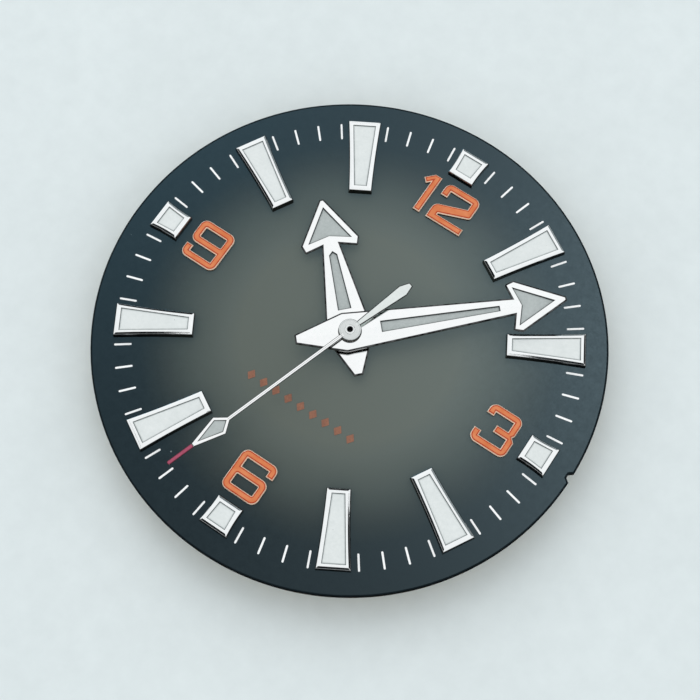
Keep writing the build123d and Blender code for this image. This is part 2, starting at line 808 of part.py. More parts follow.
export_step(seconds_arbor.part, "parts/seconds_arbor.step")
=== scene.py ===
import json
from math import atan2, cos, pi, radians, sin, sqrt, tan

import bmesh
import bpy
from mathutils import Matrix, Vector
from mathutils.geometry import tessellate_polygon


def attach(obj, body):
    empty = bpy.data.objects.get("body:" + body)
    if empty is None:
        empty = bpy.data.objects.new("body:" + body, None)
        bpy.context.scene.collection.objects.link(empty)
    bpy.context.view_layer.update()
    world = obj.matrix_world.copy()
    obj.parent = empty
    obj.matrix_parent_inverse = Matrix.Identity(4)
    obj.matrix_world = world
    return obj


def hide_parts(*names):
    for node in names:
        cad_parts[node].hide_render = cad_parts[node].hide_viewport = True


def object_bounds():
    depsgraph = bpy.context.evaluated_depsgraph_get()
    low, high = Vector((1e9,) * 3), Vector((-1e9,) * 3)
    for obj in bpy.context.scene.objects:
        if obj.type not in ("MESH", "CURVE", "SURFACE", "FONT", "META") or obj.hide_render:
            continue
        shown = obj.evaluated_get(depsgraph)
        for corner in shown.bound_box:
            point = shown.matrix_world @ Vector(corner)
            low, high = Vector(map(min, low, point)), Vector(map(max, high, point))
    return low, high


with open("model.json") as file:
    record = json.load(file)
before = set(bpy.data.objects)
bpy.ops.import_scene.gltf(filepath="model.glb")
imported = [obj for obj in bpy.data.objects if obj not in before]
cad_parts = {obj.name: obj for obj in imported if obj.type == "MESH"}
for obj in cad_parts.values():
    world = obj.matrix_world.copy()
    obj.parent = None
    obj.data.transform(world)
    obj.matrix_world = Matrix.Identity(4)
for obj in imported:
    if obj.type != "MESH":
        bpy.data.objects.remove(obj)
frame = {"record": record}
cad_low, cad_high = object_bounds()

# The watch dial's finished surfaces. Shapes are worked out in millimetres in the part's own
# frame, with +Z out of the dial's face and +Y at 12 o'clock, and turned into metres when a
# piece is finished. Corners carry an edge mark, from 0 to 1, which the materials read as
# painted shade and painted reflection: darker walls, rims, outlines and gaps.
MM = 0.001
HOURS = range(1, 13)
HOUR_ANGLE = 30

# How many steps curves are drawn in
ROUND_STEPS = 96
RIM_STEPS = 360
FOOT_STEPS = 48
HOLE_STEPS = 24
CORNER_STEPS = 8
SIDE_STEPS = 12
TOOTH_STEPS = 8
CARD_STEPS = 16

# Edges: where a rounding's middle lies, a hole's edge against its rim's, the share of the mark
# on a lower edge, and how far the mark fades out past the edge
ROUNDING_MIDDLE = 1 - sqrt(0.5)
HOLE_EDGE = 0.6
LOWER_MARK = 0.2
MARK_FADE = 1.4
MITRE_LIMIT = 0.2
CUT_TOLERANCE = 1e-6
SHARP_FROM = radians(50)
FLAT_FROM = 0.985
POLISH_FROM = radians(25)
POLISH_ROUNDING = 0.014

# Dial plate and its feet
DIAL_RADIUS = 14.25
DIAL_TOP = 0.40
RIM_ROUNDING = 0.04
RIM_SHADE_BAND = 0.05
CENTRE_HOLE_RADIUS = 1.05
NOTCH_FLOOR = 0.12
NOTCH_MOUTH = 0.31
NOTCH_DEPTH = 0.24
FOOT_HOLE_DEPTH = 0.30
FOOT_CLEARANCE = 0.01
DIAL_FOOT_CLOCKS = (75.0, 255.0)
DIAL_FOOT_CIRCLE = 12.35

# Hour markers: inner end, outer end, inner width, outer width
BAR_SIZES = (8.58, 12.95, 1.32, 1.90)
SQUARE_SIZES = (11.24, 12.95, 1.60, 1.78)
SQUARE_HOURS = (3, 6, 9, 12)
MARKER_WALL_TOP = 0.76
MARKER_LAND = 0.90
MARKER_FLOOR = 0.54
MARKER_BEVEL = 0.16
MARKER_WINDOW = 0.30
MARKER_BOW = 0.04
MARKER_FOOT_RADIUS = 0.20
BAR_FOOT_PITCH = 2.60
SQUARE_FOOT_PITCH = 0.80
FILL_TOP = 0.85
FILL_GAP = 0.012

# Numerals
NUMERAL_HEIGHT = 2.48
NUMERAL_WIDTH = 2.25
NUMERAL_CIRCLE = 9.55
NUMERAL_STROKE = 0.44
NUMERAL_CORNER = 0.42
NUMERAL_BODY_TOP = 0.62
NUMERAL_TOP = 0.65
NUMERAL_EDGE = 0.05
NUMERAL_FOOT_RADIUS = 0.15
ONE_WIDTH = 0.93
ONE_GAP = 0.41

# Hands
HAND_THICKNESS = 0.17
HAND_EDGE = 0.032
HAND_SHADE_BAND = 0.052
HAND_FACET_DROP = 0.06
HAND_CORNER = 0.10
HAND_HIP = 0.5
SECONDS_CLOCK = 198.3
SECONDS_BASE = 1.56
SECONDS_THICKNESS = 0.10
SECONDS_TOP = SECONDS_BASE + SECONDS_THICKNESS
SECONDS_EDGE = 0.020
SECONDS_HALF_WIDTH = 0.575
SECONDS_DISC = 0.62


# ---- outlines

def turned_way(points, anticlockwise):
    """A closed outline, running the way round that is asked for."""
    area = sum(a[0] * b[1] - b[0] * a[1] for a, b in zip(points, points[1:] + points[:1]))
    return points if (area > 0) == anticlockwise else points[::-1]


def outer(points):
    return turned_way(points, True)


def opening(points):
    return turned_way(points, False)


def at_angle(radius, turn, centre=(0, 0)):
    return centre[0] + radius * cos(turn), centre[1] + radius * sin(turn)


def round_outline(radius, steps=ROUND_STEPS, centre=(0, 0)):
    return [at_angle(radius, 2 * pi * step / steps, centre) for step in range(steps)]


def drawn_in(points, inset):
    """A closed outline drawn in by an inset with mitred corners; an opening's outline grows."""
    result = []
    for index, point in enumerate(points):
        here = Vector(point)
        arriving = (here - Vector(points[index - 1])).normalized()
        leaving = (Vector(points[(index + 1) % len(points)]) - here).normalized()
        first, second = Vector((-arriving.y, arriving.x)), Vector((-leaving.y, leaving.x))
        moved = here + (first + second) * (inset / max(MITRE_LIMIT, 1 + first.dot(second)))
        result.append((moved.x, moved.y))
    return result


def rounded(points, radii, plain=0.0):
    """An outline with rounded corners: radii gives a corner's by its number, plain the others'."""
    result = []
    for index, point in enumerate(points):
        radius = radii.get(index, plain)
        here = Vector(point)
        if radius == 0:
            result.append(tuple(here))
            continue
        back = (Vector(points[index - 1]) - here).normalized()
        ahead = (Vector(points[(index + 1) % len(points)]) - here).normalized()
        half = back.angle(ahead) / 2
        centre = here + (back + ahead).normalized() * (radius / sin(half))
        start = here + back * (radius / tan(half)) - centre
        end = here + ahead * (radius / tan(half)) - centre
        first = atan2(start.y, start.x)
        swing = (atan2(end.y, end.x) - first + pi) % (2 * pi) - pi
        for step in range(CORNER_STEPS + 1):
            result.append(at_angle(radius, first + swing * step / CORNER_STEPS, centre))
    return result


def mirrored(points):
    """A closed outline from its right-hand side; a point on the middle line is used once."""
    return points + [(-x, y) for x, y in reversed(points) if x > 0]


def clock_point(point, clock):
    """A point that was drawn at 12 o'clock, turned to a clock angle."""
    turn = radians(clock)
    x, y = point
    return x * cos(turn) + y * sin(turn), y * cos(turn) - x * sin(turn)


# ---- mesh work

def new_work():
    work = bmesh.new()
    work.verts.layers.float.new("edge")
    return work


def add_rings(work, rings, marks=()):
    """Walls between closed rings of points, each with its mark; the new corners are given back."""
    layer = work.verts.layers.float["edge"]
    rows = [[work.verts.new(point) for point in ring] for ring in rings]
    for row, mark in zip(rows, marks):
        for corner in row:
            corner[layer] = mark
    for below, above in zip(rows, rows[1:]):
        count = len(below)
        for index in range(count):
            ahead = (index + 1) % count
            work.faces.new((below[index], below[ahead], above[ahead], above[index]))
    return rows


def add_steps(work, outline, steps):
    """Rings of an outline at steps of (inset, height, edge mark)."""
    rings = [[(x, y, z) for x, y in drawn_in(outline, inset)] for inset, z, _ in steps]
    return add_rings(work, rings, [mark for _, _, mark in steps])


def close_flat(work, rows):
    """Close an outline, the first row, and its openings, the others, with one flat face."""
    corners = [corner for row in rows for corner in row]
    flats = [[Vector((corner.co.x, corner.co.y, 0)) for corner in row] for row in rows]
    for triangle in tessellate_polygon(flats):
        work.faces.new([corners[index] for index in triangle])


def close_ends(work, rims):
    """Close the first level of all rims with one flat face, and their last with another."""
    close_flat(work, [rows[0] for rows in rims])
    close_flat(work, [rows[-1] for rows in rims])


def add_stepped(work, outlines, steps, hole_steps=None):
    """A closed shape: the first outline is its rim, and the others are its holes."""
    rims = [add_steps(work, outlines[0], steps)]
    rims += [add_steps(work, points, hole_steps or steps) for points in outlines[1:]]
    close_ends(work, rims)


def edge_steps(low, high, edge, mark, band=0.0):
    """Steps of a plate with a broken lower and a rounded upper edge, and a marked band on top.
    The mark paints its edges and band dark, as painted shade and painted reflection.
    """
    soft = edge * ROUNDING_MIDDLE
    broken = edge / 2
    faint = mark * LOWER_MARK
    steps = [(broken, low, faint), (0, low + broken, faint), (0, high - edge, mark)]
    steps += [(soft, high - soft, mark), (edge, high, mark)]
    if band:
        steps.append((edge + band, high, mark))
    return steps + [(edge * MARK_FADE + band, high, 0.0)]


def add_plate(work, outlines, low, high, edge, mark=0.0, band=0.0):
    """A plate with openings, with its edges rounded and marked, and its rim marked over a band; the
    marks paint shade on it.
    """
    rim_steps = edge_steps(low, high, edge, mark, band)
    add_stepped(work, outlines, rim_steps, edge_steps(low, high, edge * HOLE_EDGE, mark))


def add_turned(work, profile, steps=ROUND_STEPS, centre=(0, 0)):
    """A turned shape from a closed profile of (radius, height) or (radius, height, edge mark)."""
    layer = work.verts.layers.float["edge"]
    rows = []
    for radius, height, *mark in profile:
        ring = round_outline(radius, steps, centre) if radius else [centre]
        rows.append([work.verts.new((x, y, height)) for x, y in ring])
        for corner in rows[-1]:
            corner[layer] = mark[0] if mark else 0.0
    for below, above in zip(rows, rows[1:] + rows[:1]):
        if len(below) == 1 and len(above) == 1:
            continue
        for index in range(steps):
            ahead = (index + 1) % steps
            corners = [below[index % len(below)], below[ahead % len(below)]]
            corners += [above[ahead % len(above)], above[index % len(above)]]
            work.faces.new(list(dict.fromkeys(corners)))


def add_foot(work, radius, soft, place):
    profile = [(radius, DIAL_TOP), (radius, soft), (radius - soft, 0), (0, 0), (0, DIAL_TOP)]
    add_turned(work, profile, HOLE_STEPS, place)


def cut_upright(work, x):
    everything = work.verts[:] + work.edges[:] + work.faces[:]
    bmesh.ops.bisect_plane(
        work, geom=everything, plane_co=(x, 0, 0), plane_no=(1, 0, 0), dist=CUT_TOLERANCE)


def fold_top(work, base, slope):
    """Cut the top along the middle line and let both sides fall away from it."""
    cut_upright(work, 0)
    for corner in work.verts:
        if corner.co.z > base:
            corner.co.z -= slope * abs(corner.co.x)


def score_ridge(work, base, half_width, start, end, mark):
    """Mark the ridge of a folded top as a fine line between two distances from the centre: a
    painted line of shade and reflection where the facets meet.
    """
    for side in (-half_width, half_width):
        cut_upright(work, side)
    layer = work.verts.layers.float["edge"]
    for corner in work.verts:
        on_ridge = abs(corner.co.x) < 1e-5 and start < corner.co.y < end
        if on_ridge and corner.co.z > base:
            corner[layer] = mark


def turn_to(work, clock):
    """Turn work that points at 12 o'clock to another clock angle."""
    bmesh.ops.rotate(work, verts=work.verts, matrix=Matrix.Rotation(-radians(clock), 3, "Z"))


# ---- pieces

home = {}
for body, members in frame["record"]["behaviour"]["bodies"].items():
    for member in members:
        home[member] = body


def settle(piece, nodes):
    """Stand a finished piece in for its nodes, on their body."""
    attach(piece, home[nodes[0]])
    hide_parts(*nodes)
    return piece


def add_object(name, data):
    made = bpy.data.objects.new(name, data)
    bpy.context.scene.collection.objects.link(made)
    return made


def mesh_object(name, work, materials):
    mesh = bpy.data.meshes.new(name)
    work.to_mesh(mesh)
    work.free()
    for material in materials:
        mesh.materials.append(material)
    return add_object(name, mesh)


def shade_edges(work):
    """Flat faces stay flat, rounded ones are smooth, and steep corners stay crisp."""
    for face in work.faces:
        face.smooth = abs(face.normal.z) < FLAT_FROM
    for edge in work.edges:
        if len(edge.link_faces) == 2 and edge.calc_face_angle(0) > SHARP_FROM:
            edge.smooth = False


def finish_piece(name, work, node, slot, *materials):
    """Turn mesh work in millimetres into a piece in metres that stands for its node."""
    bmesh.ops.recalc_face_normals(work, faces=work.faces)
    shade_edges(work)
    bmesh.ops.scale(work, vec=(MM, MM, MM), verts=work.verts)
    return settle(mesh_object(name, work, materials or [FINISHES[slot]]), [node])


def polish_edges(piece):
    bevel = piece.modifiers.new("polished_edges", "BEVEL")
    bevel.width = POLISH_ROUNDING * MM
    bevel.segments = 2
    bevel.limit_method = "ANGLE"
    bevel.angle_limit = POLISH_FROM
    bevel.harden_normals = True
    for face in piece.data.polygons:
        face.use_smooth = True


# ---- material parts

# The part of a pattern's range that a blend runs over, and how uneven the painted shade on an edge
# is
SOFT, CRISP = (0.3, 0.7), (0.35, 0.65)
EVEN, PATCHY = 0.1, 0.25


def shade(code):
    """The colour that a web code names, in linear light."""
    parts = [int(code[start:start + 2], 16) / 255 for start in (0, 2, 4)]
    return (*[p / 12.92 if p <= 0.04045 else ((p + 0.055) / 1.055) ** 2.4 for p in parts], 1.0)


def add_node(tree, kind, inputs=(), **settings):
    """A node's outputs; its inputs, in order or by name, are values or other nodes' outputs."""
    made = tree.nodes.new(kind)
    for name, value in settings.items():
        setattr(made, name, value)
    for name, value in inputs.items() if isinstance(inputs, dict) else enumerate(inputs):
        if isinstance(value, bpy.types.NodeSocket):
            tree.links.new(value, made.inputs[name])
        else:
            made.inputs[name].default_value = value
    return made.outputs


def spaced(values):
    """Values by socket name, from keywords whose underscores stand for spaces."""
    return {name.replace("_", " "): value for name, value in values.items()}


def reckon(operation, *values):
    tree = next(value.id_data for value in values if isinstance(value, bpy.types.NodeSocket))
    return add_node(tree, "ShaderNodeMath", values, operation=operation)[0]


def remap(value, low, high, new_low=0.0, new_high=1.0):
    inputs = (value, low, high, new_low, new_high)
    return add_node(value.id_data, "ShaderNodeMapRange", inputs)[0]


def vary(pattern, low, high):
    return remap(pattern, *SOFT, low, high)


def noise(place, scale, detail, roughness=0.5):
    inputs = {"Vector": place, "Scale": scale, "Detail": detail, "Roughness": roughness}
    return add_node(place.id_data, "ShaderNodeTexNoise", inputs)["Fac"]


def stretched(place, amounts):
    kind = "ShaderNodeVectorMath"
    return add_node(place.id_data, kind, (place, amounts), operation="MULTIPLY")["Vector"]


def axis_distance(place):
    flat = stretched(place, (1, 1, 0))
    return add_node(place.id_data, "ShaderNodeVectorMath", (flat,), operation="LENGTH")["Value"]


def blend_colours(share, first, second):
    inputs = {0: share, 6: first, 7: second}
    return add_node(share.id_data, "ShaderNodeMix", inputs, data_type="RGBA")[2]


def two_shades(pattern, span, deep, pale):
    """Two close shades that follow a pattern over a span of its range."""
    return blend_colours(remap(pattern, *span), shade(deep), shade(pale))


def colour_steps(value, steps):
    """A colour that goes through steps of (value, web code)."""
    made = add_node(value.id_data, "ShaderNodeValToRGB", (value,))["Color"]
    stops = made.node.color_ramp.elements
    while len(stops) < len(steps):
        stops.new(0.5)
    for stop, (position, code) in zip(stops, steps):
        stop.position = position
        stop.color = shade(code)
    return made


SOCKET_KINDS = {
    tuple: "NodeSocketVector", int: "NodeSocketInt", float: "NodeSocketFloat",
    bpy.types.Material: "NodeSocketMaterial",
}
ANY_PLACE = (0.0, 0.0, 0.0)


def open_group(kind, name, inputs, output, output_kind="NodeSocketFloat"):
    tree = bpy.data.node_groups.new(name, kind)
    for label, value in inputs.items():
        made = tree.interface.new_socket(
            label, in_out="INPUT", socket_type=SOCKET_KINDS[type(value)])
        made.default_value = value
    tree.interface.new_socket(output, in_out="OUTPUT", socket_type=output_kind)
    return tree.nodes.new("NodeGroupInput").outputs, tree.nodes.new("NodeGroupOutput").inputs[0]


def open_pattern(name, output, **sizes):
    """A shader node group for a pattern that follows places."""
    return open_group("ShaderNodeTree", name, {"Place": ANY_PLACE, **spaced(sizes)}, output)


def close_group(put, value):
    """Put a value out of a group and give the group back."""
    put.id_data.links.new(value, put)
    return put.id_data


def fine_grain_group():
    """Grain in two sizes, for lacquer, ink and luminous paste."""
    given, put = open_pattern("fine_grain", "Height", Grains_per_metre=9000.0, Roughness=0.6)
    fine = noise(given["Place"], given["Grains per metre"], 3.0, given["Roughness"])
    slow = noise(given["Place"], reckon("MULTIPLY", given["Grains per metre"], 0.22), 1.0)
    return close_group(put, reckon("MULTIPLY_ADD", slow, 0.35, reckon("MULTIPLY", fine, 0.65)))


def turned_rings_group():
    """Rings that a turning tool leaves round the dial's axis."""
    given, put = open_pattern("turned_rings", "Height", Rings_per_metre=30000.0)
    count = reckon("MULTIPLY", axis_distance(given["Place"]), given["Rings per metre"])
    moved = reckon("MULTIPLY_ADD", noise(given["Place"], 4000.0, 1.0), 0.8, count)
    wave = reckon("SINE", reckon("MULTIPLY", moved, 2 * pi))
    return close_group(put, reckon("MULTIPLY_ADD", wave, 0.5, 0.5))


def dust_group():
    """A mask of sparse specks: some of a pattern's cells hold one, each of another size."""
    given, put = open_pattern("dust_specks", "Mask", Specks_per_metre=2500.0, Speck_size=0.10)
    inputs = {"Vector": given["Place"], "Scale": given["Specks per metre"]}
    cells = add_node(put.id_data, "ShaderNodeTexVoronoi", inputs)
    tint = add_node(put.id_data, "ShaderNodeSeparateColor", (cells["Color"],))
    chosen = reckon("GREATER_THAN", tint["Red"], 0.86)
    size = reckon("MULTIPLY", given["Speck size"], tint["Green"])
    near = reckon("LESS_THAN", cells["Distance"], size)
    return close_group(put, reckon("MULTIPLY", chosen, near))


def polish_lines_group():
    """Faint lines left by polishing, drawn out along the Y axis turned by a clock angle."""
    given, put = open_pattern("polish_lines", "Height", Clock_turn=0.0, Lines_per_metre=16000.0)
    inputs = {"Vector": given["Place"], "Angle": given["Clock turn"], "Axis": (0, 0, 1)}
    turned = add_node(put.id_data, "ShaderNodeVectorRotate", inputs)["Vector"]
    drawn = stretched(turned, (1.0, 0.05, 1.0))
    return close_group(put, noise(drawn, given["Lines per metre"], 2.0))


def edge_shade_group():
    """Painted shade: the edge mark that pieces carry in their mesh, made a little uneven, as a
    mask.
    """
    given, put = open_pattern("painted_edge_shade", "Mask", Edge=0.0, Unevenness=0.25)
    patches = remap(noise(given["Place"], 4000.0, 1.0), *SOFT)
    kept = reckon("SUBTRACT", 1.0, reckon("MULTIPLY", patches, given["Unevenness"]))
    return close_group(put, reckon("MULTIPLY", given["Edge"], kept))


FINE_GRAIN = fine_grain_group()
TURNED_RINGS = turned_rings_group()
DUST_SPECKS = dust_group()
POLISH_LINES = polish_lines_group()
EDGE_SHADE = edge_shade_group()


def use_group(group, place, **values):
    inputs = {"Place": place, **spaced(values)}
    return add_node(place.id_data, "ShaderNodeGroup", inputs, node_tree=group)[0]


def grain_of(place, grains_per_metre, roughness=0.6):
    return use_group(FINE_GRAIN, place, Grains_per_metre=grains_per_metre, Roughness=roughness)


def rings_of(place, rings_per_metre):
    return use_group(TURNED_RINGS, place, Rings_per_metre=rings_per_metre)


def edge_shade_mask(place, unevenness):
    mark = add_node(place.id_data, "ShaderNodeAttribute", attribute_name="edge")["Fac"]
    return use_group(EDGE_SHADE, place, Edge=mark, Unevenness=unevenness)


def edge_shaded(place, body, code, unevenness):
    """A colour that turns darker where the piece carries its edge mark: painted shade and painted
    reflection.
    """
    return blend_colours(edge_shade_mask(place, unevenness), body, shade(code))


def specked(place, body, code, share, specks_per_metre, size):
    specks = use_group(DUST_SPECKS, place, Specks_per_metre=specks_per_metre, Speck_size=size)
    return blend_colours(reckon("MULTIPLY", specks, share), body, shade(code))


def start_material(name):
    """A new material, and the place on the object that its patterns follow."""
    material = bpy.data.materials.new(name + "_finish")
    material.use_nodes = True
    material.node_tree.nodes.clear()
    return material, add_node(material.node_tree, "ShaderNodeTexCoord")["Object"]


def finish_material(material, colour, roughness, metallic, height=None, depth=0.0, **constants):
    """The material's shader. Depth is how far the height moves the surface, in metres."""
    tree = material.node_tree
    inputs = {"Base Color": colour, "Roughness": roughness, "Metallic": metallic}
    inputs.update(spaced(constants))
    if height is not None:
        lift = {"Height": height, "Strength": 1.0, "Distance": depth}
        inputs["Normal"] = add_node(tree, "ShaderNodeBump", lift)["Normal"]
    shader = add_node(tree, "ShaderNodeBsdfPrincipled", inputs)["BSDF"]
    add_node(tree, "ShaderNodeOutputMaterial", {"Surface": shader})
    return material


# ---- materials

# The lacquer from the dial's middle to its rim: share of the radius, colour
SMOKE = (
    (0.0, "5a5c51"), (0.16, "585a4f"), (0.42, "56584d"), (0.48, "50534a"), (0.54, "484b42"),
    (0.60, "40433b"), (0.65, "363931"), (0.70, "2a2b24"), (0.75, "1a1b14"), (0.81, "040706"),
    (0.88, "000305"),
)


def dial_lacquer():
    """Satin lacquer, grey in the middle and smoked to blue-black at the rim."""
    material, place = start_material("dial_lacquer")
    drift = reckon("MULTIPLY_ADD", noise(place, 160.0, 2.0), 0.03, -0.015)
    share = reckon("MULTIPLY_ADD", axis_distance(place), 1 / (DIAL_RADIUS * MM), drift)
    smoke = colour_steps(share, SMOKE)
    grain = grain_of(place, 11000.0)
    grainy = blend_colours(remap(grain, *CRISP, 0.0, 0.012), smoke, shade("7d8784"))
    dusty = specked(place, grainy, "a9b0b0", 0.35, 1400.0, 0.07)
    edge = edge_shade_mask(place, EVEN)
    rough = reckon("MAXIMUM", vary(grain, 0.42, 0.50), edge)
    # Painted shade: the lacquer turns near black, and rough, on the rim's marked wall and band.
    colour = blend_colours(edge, dusty, shade("020304"))
    return finish_material(material, colour, rough, 0.0, grain, 6e-7, Specular_IOR_Level=0.03)


def grained_material(
        name, deep, pale, grains, rough, depth, metallic=0.0, span=CRISP, detail=0.6, edge=None,
        unevenness=EVEN, patches=None, specks=False, rings=None, **constants):
    """Two close shades in one grain or in patches. Turned rings or the grain are its relief."""
    material, place = start_material(name)
    grain = grain_of(place, grains, detail)
    pattern = noise(place, patches, 2.0) if patches else grain
    colour = two_shades(pattern, span, deep, pale)
    if specks:
        colour = specked(place, colour, "7b8482", 0.5, 3200.0, 0.09)
    if edge:
        colour = edge_shaded(place, colour, edge, unevenness)
    height = rings_of(place, rings) if rings else grain
    rough = vary(grain, *rough)
    return finish_material(material, colour, rough, metallic, height, depth, **constants)


# The edge colour paints shade where a profile is marked: in the seconds tube's bore and on the
# arbor's end.
def turned_metal(name, pale, deep, rough, rings, depth, grains=14000.0, edge="17191a"):
    return grained_material(name, deep, pale, grains, rough, depth, 1.0, edge=edge, rings=rings)


def luminous_paste(name, pale, deep, rim):
    """Matt luminous paste: a soft grain, a few specks, and painted shade where it meets its frame.
    """
    return grained_material(
        name, deep, pale, 6500.0, (0.62, 0.82), 2e-6, span=SOFT, detail=0.7, edge=rim,
        unevenness=PATCHY, specks=True, Specular_IOR_Level=0.2)


def printed_ink(name, pale, deep):
    return grained_material(
        name, deep, pale, 10000.0, (0.45, 0.6), 3e-6, detail=0.7, Specular_IOR_Level=0.35)


def polished_metal(name, deep, pale, edge, rough, lines, grains, depth, clock=0.0):
    """Almost a mirror, with the faintest lines along a clock angle, and its marked edges painted
    dark as painted shade and painted reflection.
    """
    material, place = start_material(name)
    height = use_group(POLISH_LINES, place, Clock_turn=radians(clock), Lines_per_metre=lines)
    colour = edge_shaded(place, two_shades(grain_of(place, grains), SOFT, deep, pale), edge, EVEN)
    return finish_material(material, colour, vary(height, *rough), 1.0, height, depth)


def hand_steel(name, clock, deep, pale):
    # The hands' marked edges and bands turn near black: painted shade and painted reflection.
    rough = (0.04, 0.08)
    return polished_metal(name, deep, pale, "0c1012", rough, 14000.0, 5000.0, 1.5e-7, clock)


def seconds_disc_steel():
    material, place = start_material("seconds_disc_steel")
    dull = two_shades(grain_of(place, 9000.0), SOFT, "d3d7d5", "dfe2e1")
    rings = rings_of(place, 18000.0)
    rough = remap(rings, 0.0, 1.0, 0.09, 0.13)
    # The disc's marked rim turns grey: painted shade and painted reflection.
    return finish_material(material, edge_shaded(place, dull, "4c5557", EVEN), rough, 1.0, rings, 4e-7)


DIAL_BACK = turned_metal(
    "dial_back_brass", "d2b87e", "c3a56a", (0.26, 0.40), 7000.0, 1.5e-6, 3000.0, edge=None)
# Painted shade: the tail is the same steel as the needle, given darker shades.
SHADED_TAIL_STEEL = hand_steel("seconds_tail_steel_painted_shade", SECONDS_CLOCK, "e0e6e3", "eaefed")

# The material of each slot, where one serves all of its pieces
FINISHES = {
    # Painted shade and painted reflection: the frames' marked walls and lower bevels turn dark
    # grey.
    "marker_chrome": polished_metal(
        "marker_chrome", "f3f6f6", "fbfdfd", "2a3032", (0.03, 0.07), 12000.0, 7000.0, 1.2e-7),
    # The last shade of each paste is painted shade where it meets its frame.
    "marker_fill": luminous_paste("marker_fill", "e4e9e8", "d8dedd", "98a1a1"),
    "hand_fill": luminous_paste("hand_fill", "bbc2c1", "a8b0af", "5a6363"),
    # Painted shade: the numerals' marked walls turn near black.
    "numeral_metal": grained_material(
        "numeral_metal", "f7d2b6", "ffe6d0", 12000.0, (0.30, 0.44), 4e-7, 0.2, SOFT,
        edge="120d0b"),
    # Painted shade: the lacquer darkens along its marked edges.
    "numeral_lacquer": grained_material(
        "numeral_lacquer", "d27444", "dc8557", 8000.0, (0.34, 0.46), 1e-6, edge="b23c20",
        unevenness=PATCHY, patches=1500.0, Coat_Weight=0.08, Coat_Roughness=0.3,
        Specular_IOR_Level=0.2),
    # Painted shade: the red tip darkens along its marked edges.
    "tip_lacquer": grained_material(
        "tip_lacquer", "9c3f5a", "ad4d68", 8000.0, (0.3, 0.45), 1e-6, edge="6c1c34",
        unevenness=PATCHY, Coat_Weight=0.2, Coat_Roughness=0.2, Specular_IOR_Level=0.3),
    "hub_steel": turned_metal("hub_steel", "f2f4f3", "e2e5e4", (0.08, 0.12), 22000.0, 5e-7),
    "hand_collet": turned_metal("hand_collet", "d6d3c8", "bfbbb0", (0.22, 0.34), 16000.0, 1e-6),
    "wheel_brass": turned_metal("wheel_gilt", "ddb867", "c69f50", (0.20, 0.34), 9000.0, 1e-6),
    "washer_brass": turned_metal("washer_brass", "d8b162", "bd944a", (0.16, 0.28), 12000.0, 8e-7),
    "pinion_steel": turned_metal("pinion_steel", "b9bcc0", "9a9da1", (0.10, 0.22), 14000.0, 8e-7),
    "foot_copper": turned_metal("foot_copper", "cf9a72", "b07d58", (0.28, 0.42), 10000.0, 1e-6),
}


# ---- dial plate

def marker_sizes(hour):
    return SQUARE_SIZES if hour in SQUARE_HOURS else BAR_SIZES


def marker_feet(hour):
    """Where a marker's two feet stand, before it is turned to its hour."""
    middle = (marker_sizes(hour)[0] + marker_sizes(hour)[1]) / 2
    if hour in SQUARE_HOURS:
        return [(side * SQUARE_FOOT_PITCH / 2, middle) for side in (-1, 1)]
    return [(0, middle + side * BAR_FOOT_PITCH / 2) for side in (-1, 1)]


def numeral_corner(hour, width):
    """Lower left corner of a numeral's cell, centred on its hour's line."""
    turn = radians(hour * HOUR_ANGLE)
    return (
        NUMERAL_CIRCLE * sin(turn) - width / 2,
        NUMERAL_CIRCLE * cos(turn) - NUMERAL_HEIGHT / 2,
    )


TWELVE_X, TWELVE_Y = numeral_corner(12, ONE_WIDTH + ONE_GAP + NUMERAL_WIDTH)
NUMERAL_CORNERS = {
    "one": (TWELVE_X, TWELVE_Y),
    "two": (TWELVE_X + ONE_WIDTH + ONE_GAP, TWELVE_Y),
    "three": numeral_corner(3, NUMERAL_WIDTH),
    "six": numeral_corner(6, NUMERAL_WIDTH),
    "nine": numeral_corner(9, NUMERAL_WIDTH),
}


def numeral_feet(name):
    x, y = NUMERAL_CORNERS[name]
    middle = ONE_WIDTH - NUMERAL_STROKE / 2 if name == "one" else NUMERAL_WIDTH / 2
    low = NUMERAL_STROKE / 2
    return [(x + middle, y + low), (x + middle, y + NUMERAL_HEIGHT - low)]


def dial_outline():
    """The dial's rim, broken at 3 o'clock by the locating notch."""
    mouth = atan2(NOTCH_MOUTH, sqrt(DIAL_RADIUS ** 2 - NOTCH_MOUTH ** 2))
    swing = 2 * pi - 2 * mouth
    rim = [at_angle(DIAL_RADIUS, mouth + swing * step / RIM_STEPS) for step in range(RIM_STEPS + 1)]
    floor = DIAL_RADIUS - NOTCH_DEPTH
    return rim + [(floor, -NOTCH_FLOOR), (floor, NOTCH_FLOOR)]


